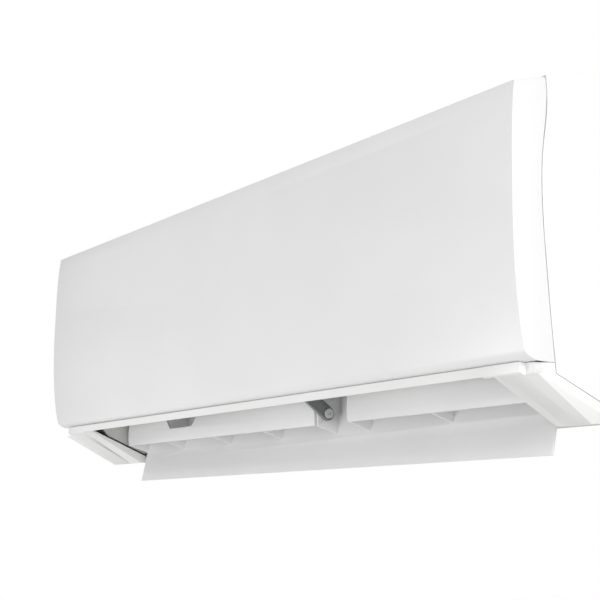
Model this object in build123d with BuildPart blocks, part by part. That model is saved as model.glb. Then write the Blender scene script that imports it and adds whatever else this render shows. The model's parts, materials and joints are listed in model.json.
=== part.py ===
from build123d import *
import math
import os

os.makedirs("parts", exist_ok=True)

# Wall-hung indoor unit of a split air conditioner, in millimetres.
# +X runs to the right seen from the room, +Y points into the wall, +Z is up.
# The origin is the centre of the wall plate's back face.

# ---------------------------------------------------------------- overall sizes
casing_width = 790.0
casing_height = 268.0
casing_depth = 206.0
bottom_z = -122.0
wall = 2.5                      # moulded skins
seam_gap = 0.8                  # joint lines between outer mouldings
part_gap = 0.3                  # clearance between pieces that only sit together
running_gap = 0.05              # radial clearance of pins and shafts

half_width = casing_width / 2
front_y = -casing_depth
top_z = bottom_z + casing_height

# ---------------------------------------------------------------- outer section
top_front_drop = 15.6           # panel's top corner below the highest point
panel_top_setback = 18.0        # panel's top corner behind its foremost bulge
grille_slope_drop = 8.5         # top skin falls towards the room
grille_slope_run = 63.0
panel_return_depth = 33.0       # the panel's side walls, front to back
panel_foot_height = 56.0        # end of the panel's face above the underside
groove_front_height = 48.5      # groove between body and outlet surround, at the front
groove_rear_setback = 103.0     # the groove reaches the underside this far back
lip_front_setback = 9.5
surround_lip_width = 12.0       # bright strip below the panel

top_corner = (front_y + panel_top_setback, top_z - top_front_drop)
seam_top = (top_corner[0] + panel_return_depth, top_corner[1] + 5.0)
groove_front = (front_y + lip_front_setback, bottom_z + groove_front_height)
groove_rear = (front_y + groove_rear_setback, bottom_z)
groove_angle = math.atan2(groove_front[1] - groove_rear[1], groove_rear[0] - groove_front[0])
groove_dir = (math.cos(groove_angle), -math.sin(groove_angle))     # backwards and down
groove_out = (-math.sin(groove_angle), -math.cos(groove_angle))    # out of the casing

# ---------------------------------------------------------------- louver and duct axes
pivot_setback = 78.0
pivot_height = 31.0
pivot_y = front_y + pivot_setback
pivot_z = bottom_z + pivot_height
blade_angle = 14.6              # hanging blades lean forward at the bottom
flow_angle = 24.6               # duct direction from the vertical
fan_radius = 43.0
fan_setback = 114.0
fan_height = 142.0
fan_y = front_y + fan_setback
fan_z = bottom_z + fan_height
fan_gap = 5.0                   # air gap at the stabiliser

duct_half_length = 343.0        # end walls of the outlet duct
duct_rear_reach = 40.0          # duct's rear wall behind the louver axis
duct_front_reach = 38.0
fan_room_right = 306.0          # right end wall of the fan chamber


def side_plane(x):
    """Section plane across the unit at x: its own x is world Y, its own y is world Z."""
    return Plane.YZ.offset(x)


def duct_point(along, across):
    """A point of the section: along the duct upstream of the louver axis, across to the rear."""
    a = math.radians(flow_angle)
    return (pivot_y + along * math.sin(a) + across * math.cos(a),
            pivot_z + along * math.cos(a) - across * math.sin(a))


def blade_point(along, behind):
    """A point of the section: along the hanging blades from the axis, and behind it."""
    a = math.radians(blade_angle)
    return (pivot_y - along * math.sin(a) + behind * math.cos(a),
            pivot_z - along * math.cos(a) - behind * math.sin(a))


def groove_point(along, out):
    """A point of the section: back along the groove from its front end, and out of it."""
    return (groove_front[0] + along * groove_dir[0] + out * groove_out[0],
            groove_front[1] + along * groove_dir[1] + out * groove_out[1])


def finish(part, name):
    """Label a finished piece and write its STEP file."""
    part.label = name
    export_step(part, f"parts/{name}.step")
    return part


def face_curve(inset):
    """The panel's bulging face from its top corner to its foot, moved inwards by inset."""
    return [(top_corner[0] + inset, top_corner[1]),
            (front_y + 7.2 + inset, top_corner[1] - 68.0),
            (front_y + 0.6 + inset, bottom_z + 112.0),
            (front_y + 0.4 + inset, bottom_z + 82.0),
            (front_y + 2.4 + inset, bottom_z + panel_foot_height)]


hinge_corner_radius = 2.4       # the panel's rear top corner turns about the hinge axis
hinge_y = seam_top[0] - seam_gap / 2 - hinge_corner_radius
hinge_z = seam_top[1] - hinge_corner_radius
foot_gap = 0.35                 # joint under the panel's foot
foot_end = groove_point(2.0, -foot_gap)
foot_radius = math.dist((hinge_y, hinge_z), foot_end)
seam_foot_y = front_y + 31.6    # the seam's lower end


def swing_point(y, clearance=0.0):
    """The section point at y on the arc that the panel's foot swings on, moved outwards."""
    reach = foot_radius + clearance
    return (y, hinge_z - math.sqrt(reach ** 2 - (y - hinge_y) ** 2))


def seam_curve(shift):
    """The joint between panel and casing sides, from the top down to the groove."""
    return [(seam_top[0] + shift, seam_top[1]),
            (front_y + 40.5 + shift, top_z - 66.0),
            (front_y + 32.9 + shift, bottom_z + 126.0),
            (front_y + 31.8 + shift, bottom_z + 78.0),
            swing_point(seam_foot_y + shift)]


# ================================================================ front panel
panel_skin = 2.5
panel_foot_lip = 7.0            # how far the curled foot reaches back under the panel
hinge_pin_radius = 1.2
knuckle_radius = hinge_corner_radius - 0.1
ear_gap = 0.5
ear_thickness = 6.0
panel_top_gap = 9.0             # open slot between the panel's top skin and the grille
slot_half_length = half_width - 16.0


def panel_outline():
    """Closed section of the panel between its face and the seam."""
    face = face_curve(0.0)
    seam = seam_curve(-seam_gap / 2)
    seam[0] = (seam[0][0], hinge_z)
    with BuildLine() as line:
        Spline(*face, tangents=((-0.25, -1), (0.16, -1)))
        Spline(face[-1], foot_end, tangents=((0.16, -1), groove_dir))
        ThreePointArc(foot_end, swing_point((foot_end[0] + seam[-1][0]) / 2), seam[-1])
        Spline(*reversed(seam), tangents=((0, 1), (0, 1)))
        corner = (hinge_y, hinge_z + hinge_corner_radius)
        RadiusArc(seam[0], corner, -hinge_corner_radius)
        Line(corner, face[0])
    return line


panel_section = panel_outline()
with BuildPart() as front_panel:
    with BuildSketch(side_plane(-half_width)):
        add(panel_section)
        make_face()
    extrude(amount=casing_width)
    # hollow behind the face, between the two side walls
    with BuildSketch(side_plane(-half_width + panel_skin)):
        with BuildLine():
            face = face_curve(panel_skin)
            foot = swing_point(foot_end[0] + panel_foot_lip - panel_skin, -panel_skin)
            foot_edge = (foot[0], foot[1] - 2 * panel_skin)
            behind = groove_point(60.0, seam_gap)
            Spline(*face, tangents=((-0.25, -1), (0.16, -1)))
            Polyline(face[-1], foot, foot_edge, behind, (behind[0], seam_top[1] - panel_skin),
                     (seam_top[0], seam_top[1] - panel_skin),
                     (face[0][0], top_corner[1] - panel_skin), face[0])
        make_face()
    extrude(amount=casing_width - 2 * panel_skin, mode=Mode.SUBTRACT)
    # open slot along the top, short of the hinge knuckles
    with BuildSketch(Plane.XY.offset(seam_top[1] - 2 * panel_skin)):
        with Locations((0, seam_top[0])):
            Rectangle(2 * slot_half_length, 2 * panel_top_gap)
    extrude(amount=4 * panel_skin, mode=Mode.SUBTRACT)
    # hinge knuckles on the side walls
    with BuildSketch(side_plane(slot_half_length)):
        with Locations((hinge_y, hinge_z)):
            Circle(knuckle_radius)
    extrude(amount=half_width - panel_skin - slot_half_length)
    with BuildSketch(side_plane(-slot_half_length)):
        with Locations((hinge_y, hinge_z)):
            Circle(knuckle_radius)
    extrude(amount=-(half_width - panel_skin - slot_half_length))
    with BuildSketch(side_plane(-half_width + panel_skin)):
        with Locations((hinge_y, hinge_z)):
            Circle(hinge_pin_radius + running_gap)
    extrude(amount=casing_width - 2 * panel_skin, mode=Mode.SUBTRACT)
finish(front_panel.part, "front_panel")

# ================================================================ casing frame and top grille
frame_back_y = -1.0
frame_ledge_height = 17.0
flat_top_y = seam_top[0] + grille_slope_run
recess_front_y = flat_top_y + 1.5
recess_rear_y = -14.0
recess_margin = 12.0            # solid skin left at the ends and between the filters
recess_depth = 5.0
grille_bar = 2.4
grille_pitch = 12.0
grille_cross_bars = 3
front_slot_width = 7.0
front_slot_length = 34.0
frame_foot_y = seam_foot_y + seam_gap / 2
frame_foot = groove_point((frame_foot_y - groove_front[0]) / groove_dir[0], -seam_gap)
frame_front_top = (seam_top[0] + seam_gap / 2, seam_top[1] + 2.0)
recess_length = casing_width - 2 * wall - 2 * recess_margin
recess_width = recess_rear_y - recess_front_y
recess_mid_y = (recess_rear_y + recess_front_y) / 2
grille_bars = int(recess_length // grille_pitch)

with BuildPart() as casing_frame:
    with BuildSketch(side_plane(-half_width)):
        with BuildLine():
            seam = seam_curve(seam_gap / 2)
            seam[0] = (seam[0][0], hinge_z)
            Polyline(seam[-1], (frame_foot_y, frame_foot[1]),
                     (groove_rear[0], bottom_z + seam_gap), (frame_back_y, bottom_z + seam_gap),
                     (frame_back_y, top_z), (flat_top_y, top_z), frame_front_top, seam[0])
            Spline(*seam, tangents=((0, -1), (0, -1)))
        make_face()
    extrude(amount=casing_width)
    with BuildSketch(side_plane(-half_width + wall)):
        Polygon((front_y, bottom_z - wall), (frame_back_y + wall, bottom_z - wall),
                (frame_back_y + wall, top_z - wall), (flat_top_y, top_z - wall),
                (frame_front_top[0] + wall, frame_front_top[1] - wall),
                (frame_front_top[0] + wall, frame_front_top[1] - frame_ledge_height),
                (front_y, frame_front_top[1] - frame_ledge_height), align=None)
    extrude(amount=casing_width - 2 * wall, mode=Mode.SUBTRACT)
    # recess for the two filters, open below
    with BuildSketch(Plane.XY.offset(top_z - 2 * wall)):
        with Locations((0, recess_mid_y)):
            Rectangle(recess_length, recess_width)
    extrude(amount=4 * wall, mode=Mode.SUBTRACT)
    with BuildSketch(Plane.XY.offset(top_z - recess_depth - wall)):
        with Locations((0, recess_mid_y)):
            Rectangle(recess_length + 2 * wall, recess_width + 2 * wall)
            Rectangle(recess_length, recess_width, mode=Mode.SUBTRACT)
            with GridLocations(grille_pitch, 1, grille_bars, 1):
                Rectangle(grille_bar, recess_width + wall)
            with GridLocations(1, recess_width / (grille_cross_bars - 1) - grille_bar,
                               1, grille_cross_bars):
                Rectangle(recess_length + wall, grille_bar)
    extrude(amount=wall)
    with BuildSketch(Plane.XY.offset(top_z - recess_depth)):
        with Locations((0, recess_mid_y)):
            Rectangle(recess_length + 2 * wall, recess_width + 2 * wall)
            Rectangle(recess_length, recess_width, mode=Mode.SUBTRACT)
    extrude(amount=recess_depth - wall / 2)
    # intake slots in the sloping front of the top
    with BuildSketch(Plane.XY.offset(frame_front_top[1] - wall)):
        with Locations((0, (flat_top_y + frame_front_top[0]) / 2)):
            with GridLocations(grille_pitch, 1, grille_bars - 1, 1):
                SlotOverall(front_slot_length, front_slot_width, rotation=90)
    extrude(amount=grille_slope_drop + 4 * wall, mode=Mode.SUBTRACT)
    # hinge ears and their pins
    for side in (-1, 1):
        with BuildSketch(side_plane(side * (slot_half_length - ear_gap))):
            with Locations((hinge_y, hinge_z)):
                Circle(knuckle_radius)
            with Locations(((hinge_y + frame_front_top[0] + wall) / 2, hinge_z)):
                Rectangle(frame_front_top[0] + wall - hinge_y, 2 * knuckle_radius)
        extrude(amount=-side * ear_thickness)
        with BuildSketch(side_plane(side * (slot_half_length - ear_thickness))):
            with Locations((hinge_y, hinge_z)):
                Circle(hinge_pin_radius)
        extrude(amount=side * (half_width - panel_skin - part_gap
                               - slot_half_length + ear_thickness))
finish(casing_frame.part, "casing_frame")

# ================================================================ filters
filter_gap = 1.0
filter_length = recess_length / 2 - filter_gap - part_gap
filter_width = recess_width - 2 * part_gap
filter_thickness = recess_depth - part_gap
filter_rim = 5.0
filter_bar = 2.0
filter_mesh = 0.6
filter_cells = (6, 2)
filter_tab = (40.0, 7.0, 2.0)
filter_cell_length = (filter_length - 2 * filter_rim - (filter_cells[0] - 1) * filter_bar) / filter_cells[0]
filter_cell_width = (filter_width - 2 * filter_rim - (filter_cells[1] - 1) * filter_bar) / filter_cells[1]
filter_floor_z = top_z - recess_depth + part_gap / 3

for side, name in ((-1, "filter_left"), (1, "filter_right")):
    with BuildPart() as air_filter:
        with BuildSketch(Plane.XY.offset(filter_floor_z)):
            with Locations((side * (filter_length / 2 + filter_gap), recess_mid_y)):
                Rectangle(filter_length, filter_width)
        extrude(amount=filter_thickness)
        with BuildSketch(Plane.XY.offset(filter_floor_z + filter_mesh)):
            with Locations((side * (filter_length / 2 + filter_gap), recess_mid_y)):
                with GridLocations(filter_cell_length + filter_bar, filter_cell_width + filter_bar,
                                   *filter_cells):
                    Rectangle(filter_cell_length, filter_cell_width)
        extrude(amount=filter_thickness, mode=Mode.SUBTRACT)
        # finger tab that stands on the front rim
        with BuildSketch(Plane.XY.offset(filter_floor_z + filter_thickness - filter_mesh)):
            with Locations((side * (filter_length / 2 + filter_gap),
                            recess_front_y + part_gap + filter_tab[1] / 2)):
                Rectangle(filter_tab[0], filter_tab[1])
        extrude(amount=filter_mesh + filter_tab[2])
    finish(air_filter.part, name)

# ================================================================ outlet surround
lip_height = 8.2                # front lip below the panel
cheek_low_setback = 71.0        # the cheeks reach the underside this far back
opening_half_length = 341.0
cove_margin = 8.0               # outer rim left beside the cove
cove_depth = 6.2                # the cheeks fall inwards to the opening
rim_height = 7.4                # side rim below the groove
wedge_width = 14.5              # the cheek's upper part under the panel's side walls
surround_skin = 2.5
duct_throat = 25.0              # the front duct wall ends this far up the duct
screw_y = groove_rear[0] - 15.0         # screws through the cheeks
screw_x = half_width - 22.0
screw_radius = 1.9
counterbore_radius = 4.2
counterbore_depth = 3.5
strip_inner = groove_point(surround_lip_width + 1.5, -1.5)
lip_thickness = 2.4
lip_front_y = groove_front[0] + 0.2
lip_low_z = groove_front[1] - lip_height
finger_recess_x = 381.0         # recess for a finger under the panel's lower corners
finger_recess_depth = 6.0
finger_recess_floor_y = lip_front_y + finger_recess_depth
finger_recess_rear_y = front_y + 29.0
lip_step = panel_foot_lip + 2 * seam_gap
nose_y = groove_point(0.6, 0)[0]
strip_nose_y = groove_point(1.5, 0)[0]
lip_step_y = groove_point(lip_step, 0)[0]
wedge_rear = (seam_foot_y - seam_gap / 2,
              groove_point((seam_foot_y - groove_front[0]) / groove_dir[0], 0)[1])
front_throat = duct_point(duct_throat, -duct_front_reach)
cheek_tip = (lip_front_y, lip_low_z)
cheek_low = (front_y + cheek_low_setback, bottom_z)
cove_length = math.dist(cheek_tip, cheek_low)
cove_rim_x = half_width - cove_margin
cove_overrun = 12.0             # the cove runs out through the underside
cheek_fall = sum((cheek_low[i] - groove_front[i]) * groove_out[i] for i in (0, 1))
cheek_dir = ((cheek_low[0] - cheek_tip[0]) / cove_length, (cheek_low[1] - cheek_tip[1]) / cove_length)

with BuildPart() as outlet_surround:
    # solid cheeks at both ends
    for side in (-1, 1):
        with BuildSketch(side_plane(side * opening_half_length)):
            Polygon(swing_point(nose_y, foot_gap), (lip_front_y, groove_front[1] - 1.0), cheek_tip,
                    cheek_low,
                    groove_rear, groove_point(2.5, 0), align=None)
        extrude(amount=side * (half_width - opening_half_length))
        # wedge that fills the room between the panel's swing and the groove
        with BuildSketch(side_plane(side * (half_width - wedge_width))):
            with BuildLine():
                wedge_front = swing_point(nose_y, foot_gap)
                wedge_top = swing_point(wedge_rear[0], foot_gap)
                ThreePointArc(wedge_front, swing_point((nose_y + wedge_rear[0]) / 2, foot_gap), wedge_top)
                Polyline(wedge_top, wedge_rear, groove_point(26.0, 2.0), groove_point(2.0, 2.0),
                         wedge_front)
            make_face()
        extrude(amount=side * wedge_width)
    # strip under the panel, running up into the duct as its front wall
    with BuildSketch(side_plane(-opening_half_length)):
        Polygon(swing_point(strip_nose_y, foot_gap), (lip_front_y, groove_front[1] - 1.0), cheek_tip,
                (lip_front_y + lip_thickness, lip_low_z), strip_inner, front_throat,
                (front_throat[0] - surround_skin, front_throat[1]),
                groove_point(lip_step, -2 * surround_skin), swing_point(lip_step_y, foot_gap),
                align=None)
    extrude(amount=2 * opening_half_length)
    # coves: the cheeks curve inwards from their rims to the opening
    cove_plane = Plane(origin=(0, *cheek_tip), x_dir=(1, 0, 0), z_dir=(0, *cheek_dir))
    for side in (-1, 1):
        rim = (side * cove_rim_x, 0)
        inner = (side * opening_half_length, -cove_depth)
        middle = (side * (cove_rim_x + opening_half_length) / 2, -cove_depth / 4)
        with BuildSketch(cove_plane.offset(lip_thickness)):
            with BuildLine():
                ThreePointArc(rim, middle, inner)
                Polyline(inner, (inner[0], cove_depth), (rim[0], cove_depth), rim)
            make_face()
        extrude(amount=cove_length + cove_overrun, mode=Mode.SUBTRACT)
    # finger recesses at the cheeks' front corners
    with BuildSketch(Plane.XY.offset(lip_low_z - lip_thickness)):
        for side in (-1, 1):
            Polygon((side * finger_recess_x, front_y), (side * finger_recess_x, finger_recess_floor_y),
                    (side * (half_width - finger_recess_depth), finger_recess_floor_y + 1.0),
                    (side * half_width, finger_recess_rear_y), (side * half_width, front_y),
                    align=None)
    extrude(amount=lip_height + 2 * lip_thickness, mode=Mode.SUBTRACT)
    # the rims' lower edges are cut back, more towards the underside
    for side in (-1, 1):
        rim_cut = Plane(origin=(side * half_width, *groove_point(0, rim_height)),
                        z_dir=(side * (cheek_fall - rim_height), cove_margin * groove_out[0],
                               cove_margin * groove_out[1]))
        split(bisect_by=rim_cut, keep=Keep.BOTTOM)
    # screw holes through the cheeks, counterbored for the heads and their caps
    with BuildSketch(Plane.XY.offset(bottom_z)):
        with Locations((-screw_x, screw_y), (screw_x, screw_y)):
            Circle(screw_radius + part_gap)
    extrude(amount=20.0, mode=Mode.SUBTRACT)
    with BuildSketch(Plane.XY.offset(bottom_z)):
        with Locations((-screw_x, screw_y), (screw_x, screw_y)):
            Circle(counterbore_radius)
    extrude(amount=counterbore_depth, mode=Mode.SUBTRACT)
finish(outlet_surround.part, "outlet_surround")

# ================================================================ rear casing with the scroll
scroll_skin = 2.5
scroll_gap_bottom = 24.0        # widest gap between fan and scroll, at the outlet
scroll_gap_back = 12.0
scroll_gap_top = 8.0
back_y = -4.0                   # rear casing's back surface
underside_front_y = groove_rear[0] + seam_gap
fan_left = -330.0
fan_right = 298.0
bearing_height = 30.0           # side lug of the end walls round the fan axis
motor_bore_radius = 9.0
louver_pin_radius = 3.0
louver_shaft_radius = 2.5
duct_step = 36.2                # end walls step inwards this far up the duct, clear of the louver
scroll_foot = (front_y + 105.0, bottom_z + 2.0)
scroll_low = duct_point(3.0, duct_rear_reach)
scroll_high = duct_point(74.0, duct_rear_reach)
scroll_back = (fan_y + fan_radius + scroll_gap_back, fan_z - 4.0)
scroll_top = (fan_y + 38.0, fan_z + fan_radius - 3.0)
chamber_front = duct_point(74.0, -duct_front_reach)
duct_front_low = duct_point(26.0, -duct_front_reach + part_gap)
step_line = [duct_point(duct_step, -duct_front_reach), duct_point(duct_step, duct_rear_reach)]


low_outside = duct_point(3.0, duct_rear_reach + scroll_skin)
high_outside = duct_point(74.0, duct_rear_reach + scroll_skin)
back_outside = (scroll_back[0] + scroll_skin, scroll_back[1])
top_outside = (scroll_top[0] + scroll_skin, scroll_top[1] + 1.0)
foot_outside = (scroll_foot[0] + scroll_skin, bottom_z)
ear_front_y = front_y + 34.0
ear_low_z = fan_z - 18.0
ear_high_z = fan_z + 22.0
boss_half_width = 6.0
boss_low_z = bottom_z + 14.0
boss_high_z = bottom_z + 24.0
boss_rear_y = groove_rear[0] + 8.0
hook_top_z = 109.0              # the wall plate's hooks and catches
hook_bottom_z = -103.5
hook_x = 250.0
hook_width = 30.0
hook_lip = 4.0
plate_skin = 1.5
screw_spacing_x = 500.0         # screws that hold the plate to the wall
screw_spacing_z = 160.0
screw_access_radius = 6.0
slot_height = hook_lip + 2 * plate_skin
slot_rise = plate_skin / 2 + part_gap - slot_height / 2
motor_lug_reach = 16.0          # the louver motor's two fixing lugs
motor_lug_angle = -26.0
small_screw_radius = 1.5
skin_middle = scroll_skin / 2   # end walls run into the middle of the scroll's skin
wall_low = duct_point(3.0, duct_rear_reach + skin_middle)
wall_step = duct_point(duct_step, duct_rear_reach + skin_middle)
wall_high = duct_point(74.0, duct_rear_reach + skin_middle)
wall_back = (scroll_back[0] + skin_middle, scroll_back[1])
wall_top = (scroll_top[0] + skin_middle, scroll_top[1] - skin_middle)
flow_dir = (math.sin(math.radians(flow_angle)), math.cos(math.radians(flow_angle)))


def end_wall_upper():
    """Section of the fan chamber's end wall, above the louver's part of the duct."""
    with BuildLine() as line:
        Polyline(wall_top, (fan_y - 20.0, fan_z + bearing_height),
                 (fan_y - fan_radius - fan_gap, fan_z), chamber_front, step_line[0],
                 wall_step, wall_high)
        Spline(wall_high, wall_back, wall_top, tangents=(flow_dir, (-0.5, 1)))
    return line


def end_wall_lower():
    """Section of the duct's end wall beside the louver."""
    with BuildLine() as line:
        Polyline(step_line[0], duct_front_low, groove_point(19.0, -10.0), groove_point(36.0, -wall),
                 groove_point(88.0, -wall), wall_low, wall_step, step_line[0])
    return line


web_height = 12.0
left_wall_x = -duct_half_length - wall
upper_section = end_wall_upper()
lower_section = end_wall_lower()
end_walls = ((left_wall_x, (upper_section, lower_section)), (duct_half_length, (lower_section,)),
             (fan_room_right, (upper_section,)))

with BuildPart() as rear_casing:
    # scroll: one curved skin from behind the fan to the outlet's rear edge
    with BuildSketch(side_plane(left_wall_x)):
        with BuildLine():
            Polyline(scroll_foot, scroll_low, scroll_high)
            Spline(scroll_high, scroll_back, scroll_top, tangents=(flow_dir, (-0.5, 1)))
            Line(scroll_top, top_outside)
            Spline(top_outside, back_outside, high_outside,
                   tangents=((0.5, -1), (-flow_dir[0], -flow_dir[1])))
            Polyline(high_outside, low_outside, foot_outside, scroll_foot)
        make_face()
    extrude(amount=2 * (duct_half_length + wall))
    # end walls; on the right the chamber is shorter to leave room for the motor
    for wall_x, sections in end_walls:
        with BuildSketch(side_plane(wall_x)):
            for section in sections:
                make_face(section.edges())
        extrude(amount=wall)
    with BuildSketch(side_plane(fan_room_right)):
        with BuildLine():
            Polyline(*step_line)
            offset(amount=wall, side=Side.LEFT)
        make_face()
    extrude(amount=duct_half_length + wall - fan_room_right)
    # back wall and underside
    with BuildSketch(side_plane(-half_width + wall + part_gap)):
        Polygon((back_y, top_z - wall - recess_depth - part_gap), (back_y, bottom_z),
                (underside_front_y, bottom_z), (underside_front_y, bottom_z + wall),
                (back_y - wall, bottom_z + wall),
                (back_y - wall, top_z - wall - recess_depth - part_gap), align=None)
    extrude(amount=casing_width - 2 * wall - 2 * part_gap)
    # webs that tie the scroll to the back wall
    for web_x in (-300.0, 0.0, 240.0):
        with BuildSketch(side_plane(web_x)):
            Polygon(wall_back, (back_y - wall / 2, wall_back[1]),
                    (back_y - wall / 2, wall_back[1] - web_height),
                    (wall_back[0], wall_back[1] - web_height), align=None)
        extrude(amount=wall)
    # the scroll ends at the fan chamber; beyond it the motor has the room to itself
    with BuildSketch(side_plane(fan_room_right + wall)):
        Polygon(duct_point(duct_step + wall, 0), duct_point(duct_step + wall, duct_rear_reach + 2 * wall),
                (scroll_back[0] + 2 * wall, fan_z - 2 * fan_radius), (scroll_back[0] + 2 * wall, top_z),
                (fan_y, top_z), align=None)
    extrude(amount=duct_half_length - fan_room_right + wall, mode=Mode.SUBTRACT)
    # ear on the chamber's right wall for the control box
    with BuildSketch(side_plane(fan_room_right)):
        Polygon((ear_front_y, ear_low_z), (chamber_front[0] + wall, ear_low_z),
                (fan_y - fan_radius, fan_z + ear_thickness), (fan_y - fan_radius, ear_high_z),
                (ear_front_y, ear_high_z), align=None)
    extrude(amount=wall)
    # bosses that take the surround's screws
    for side in (-1, 1):
        with BuildSketch(side_plane(side * screw_x - boss_half_width)):
            Polygon((screw_y - boss_half_width, boss_low_z), (screw_y - boss_half_width, boss_high_z),
                    (boss_rear_y, boss_high_z), (boss_rear_y, bottom_z + wall / 2),
                    (boss_rear_y - wall, bottom_z + wall / 2), (boss_rear_y - wall, boss_low_z),
                    align=None)
        extrude(amount=2 * boss_half_width)
    with BuildSketch(Plane.XY.offset(boss_low_z)):
        with Locations((-screw_x, screw_y), (screw_x, screw_y)):
            Circle(screw_radius + running_gap)
    extrude(amount=boss_high_z - boss_low_z, mode=Mode.SUBTRACT)
    # slots in the back wall that drop over the wall plate's hooks
    with BuildSketch(Plane.XZ.offset(-back_y)):
        for hook_z in (hook_top_z, hook_bottom_z):
            with Locations((-hook_x, hook_z + slot_rise), (hook_x, hook_z + slot_rise)):
                Rectangle(hook_width + 2 * wall, slot_height)
        with GridLocations(screw_spacing_x, screw_spacing_z, 2, 2):
            Circle(screw_access_radius)
    extrude(amount=wall, mode=Mode.SUBTRACT)
    # bores: fan shaft on both sides, louver pin on the left, louver motor on the right
    with BuildSketch(side_plane(-duct_half_length - wall)):
        with Locations((fan_y, fan_z)):
            Circle(motor_bore_radius + 2.0)
        with Locations((pivot_y, pivot_z)):
            Circle(louver_pin_radius + running_gap)
    extrude(amount=wall, mode=Mode.SUBTRACT)
    with BuildSketch(side_plane(fan_room_right)):
        with Locations((fan_y, fan_z)):
            Circle(motor_bore_radius)
    extrude(amount=wall, mode=Mode.SUBTRACT)
    with BuildSketch(side_plane(duct_half_length)):
        with Locations((pivot_y, pivot_z)):
            Circle(2 * louver_shaft_radius)
            with PolarLocations(motor_lug_reach, 2, start_angle=motor_lug_angle):
                Circle(small_screw_radius + running_gap)
    extrude(amount=wall, mode=Mode.SUBTRACT)
finish(rear_casing.part, "rear_casing")

# ================================================================ cross-flow fan
fan_disc_thickness = 3.0
fan_sections = 7
fan_blade_count = 33
fan_blade_chord = 12.0
fan_blade_thickness = 1.4
fan_hub_radius = 12.0
fan_hub_length = 22.0
shaft_radius = 4.0
set_screw_radius = 2.0
set_screw_x = fan_right - 9.0
fan_length = fan_right - fan_left
fan_pitch = (fan_length - fan_disc_thickness) / fan_sections
fan_root_radius = fan_radius - fan_blade_chord

with BuildPart() as cross_flow_fan:
    with BuildSketch(side_plane(fan_left)):
        with Locations((fan_y, fan_z)):
            with PolarLocations(fan_radius - fan_blade_chord / 2 - 0.8, fan_blade_count):
                Rectangle(fan_blade_chord, fan_blade_thickness, rotation=28)
    extrude(amount=fan_length)
    for i in range(fan_sections + 1):
        with BuildSketch(side_plane(fan_left + i * fan_pitch)):
            with Locations((fan_y, fan_z)):
                Circle(fan_radius)
                if 0 < i < fan_sections:
                    Circle(fan_root_radius - 2.0, mode=Mode.SUBTRACT)
        extrude(amount=fan_disc_thickness)
    # hub for the motor shaft, and a seat for the left stub shaft
    with BuildSketch(side_plane(fan_right - fan_hub_length)):
        with Locations((fan_y, fan_z)):
            Circle(fan_hub_radius)
    extrude(amount=fan_hub_length)
    with BuildSketch(side_plane(fan_left)):
        with Locations((fan_y, fan_z)):
            Circle(fan_hub_radius)
    extrude(amount=fan_hub_length / 2)
    with BuildSketch(side_plane(fan_left)):
        with Locations((fan_y, fan_z)):
            Circle(shaft_radius)
    extrude(amount=fan_hub_length / 2, mode=Mode.SUBTRACT)
    with BuildSketch(side_plane(fan_right - fan_hub_length)):
        with Locations((fan_y, fan_z)):
            Circle(shaft_radius)
    extrude(amount=fan_hub_length, mode=Mode.SUBTRACT)
    with BuildSketch(Plane.XZ.offset(-fan_y)):
        with Locations((set_screw_x, fan_z)):
            Circle(set_screw_radius + running_gap)
    extrude(amount=-fan_hub_radius, mode=Mode.SUBTRACT)
finish(cross_flow_fan.part, "cross_flow_fan")

with BuildPart() as set_screw:
    with BuildSketch(Plane.XZ.offset(-fan_y - shaft_radius)):
        with Locations((set_screw_x, fan_z)):
            Circle(set_screw_radius)
            RegularPolygon(set_screw_radius / 2, 6, mode=Mode.SUBTRACT)
    extrude(amount=-(fan_hub_radius - shaft_radius))
finish(set_screw.part, "fan_set_screw")

# ================================================================ fan drive
motor_radius = 38.0
motor_length = 56.0
motor_gap = 8.0                 # from the chamber wall to the motor
motor_left = fan_room_right + wall + motor_gap
motor_boss_radius = 11.0
motor_boss_length = 5.0
bearing_radius = motor_bore_radius + 2.0 - part_gap / 3
bearing_length = 12.0

with BuildPart() as fan_motor:
    with BuildSketch(side_plane(motor_left)):
        with Locations((fan_y, fan_z)):
            Circle(motor_radius)
    extrude(amount=motor_length)
    fillet(fan_motor.edges().filter_by(GeomType.CIRCLE), radius=5.0)
    with BuildSketch(side_plane(motor_left - motor_boss_length)):
        with Locations((fan_y, fan_z)):
            Circle(motor_boss_radius)
    extrude(amount=motor_length + 2 * motor_boss_length)
    with BuildSketch(side_plane(motor_left - motor_boss_length)):
        with Locations((fan_y, fan_z)):
            Circle(shaft_radius + running_gap)
    extrude(amount=motor_length - motor_boss_length, mode=Mode.SUBTRACT)
finish(fan_motor.part, "fan_motor")

with BuildPart() as motor_shaft:
    with BuildSketch(side_plane(fan_right - fan_hub_length + part_gap)):
        with Locations((fan_y, fan_z)):
            Circle(shaft_radius)
    extrude(amount=motor_left + motor_length / 2 - fan_right + fan_hub_length)
finish(motor_shaft.part, "motor_shaft")

with BuildPart() as stub_shaft:
    with BuildSketch(side_plane(left_wall_x - bearing_length / 2)):
        with Locations((fan_y, fan_z)):
            Circle(shaft_radius)
    extrude(amount=fan_left + fan_hub_length / 2 - left_wall_x + bearing_length / 2)
finish(stub_shaft.part, "fan_stub_shaft")

with BuildPart() as fan_bearing:
    with BuildSketch(side_plane(left_wall_x - bearing_length / 2 + wall / 2)):
        with Locations((fan_y, fan_z)):
            Circle(bearing_radius)
            Circle(shaft_radius + running_gap, mode=Mode.SUBTRACT)
    extrude(amount=bearing_length)
    with BuildSketch(side_plane(left_wall_x - part_gap)):
        with Locations((fan_y, fan_z)):
            Circle(bearing_radius + 3.0)
            Circle(shaft_radius + running_gap, mode=Mode.SUBTRACT)
    extrude(amount=-(bearing_length - wall) / 2)
finish(fan_bearing.part, "fan_bearing")

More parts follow.
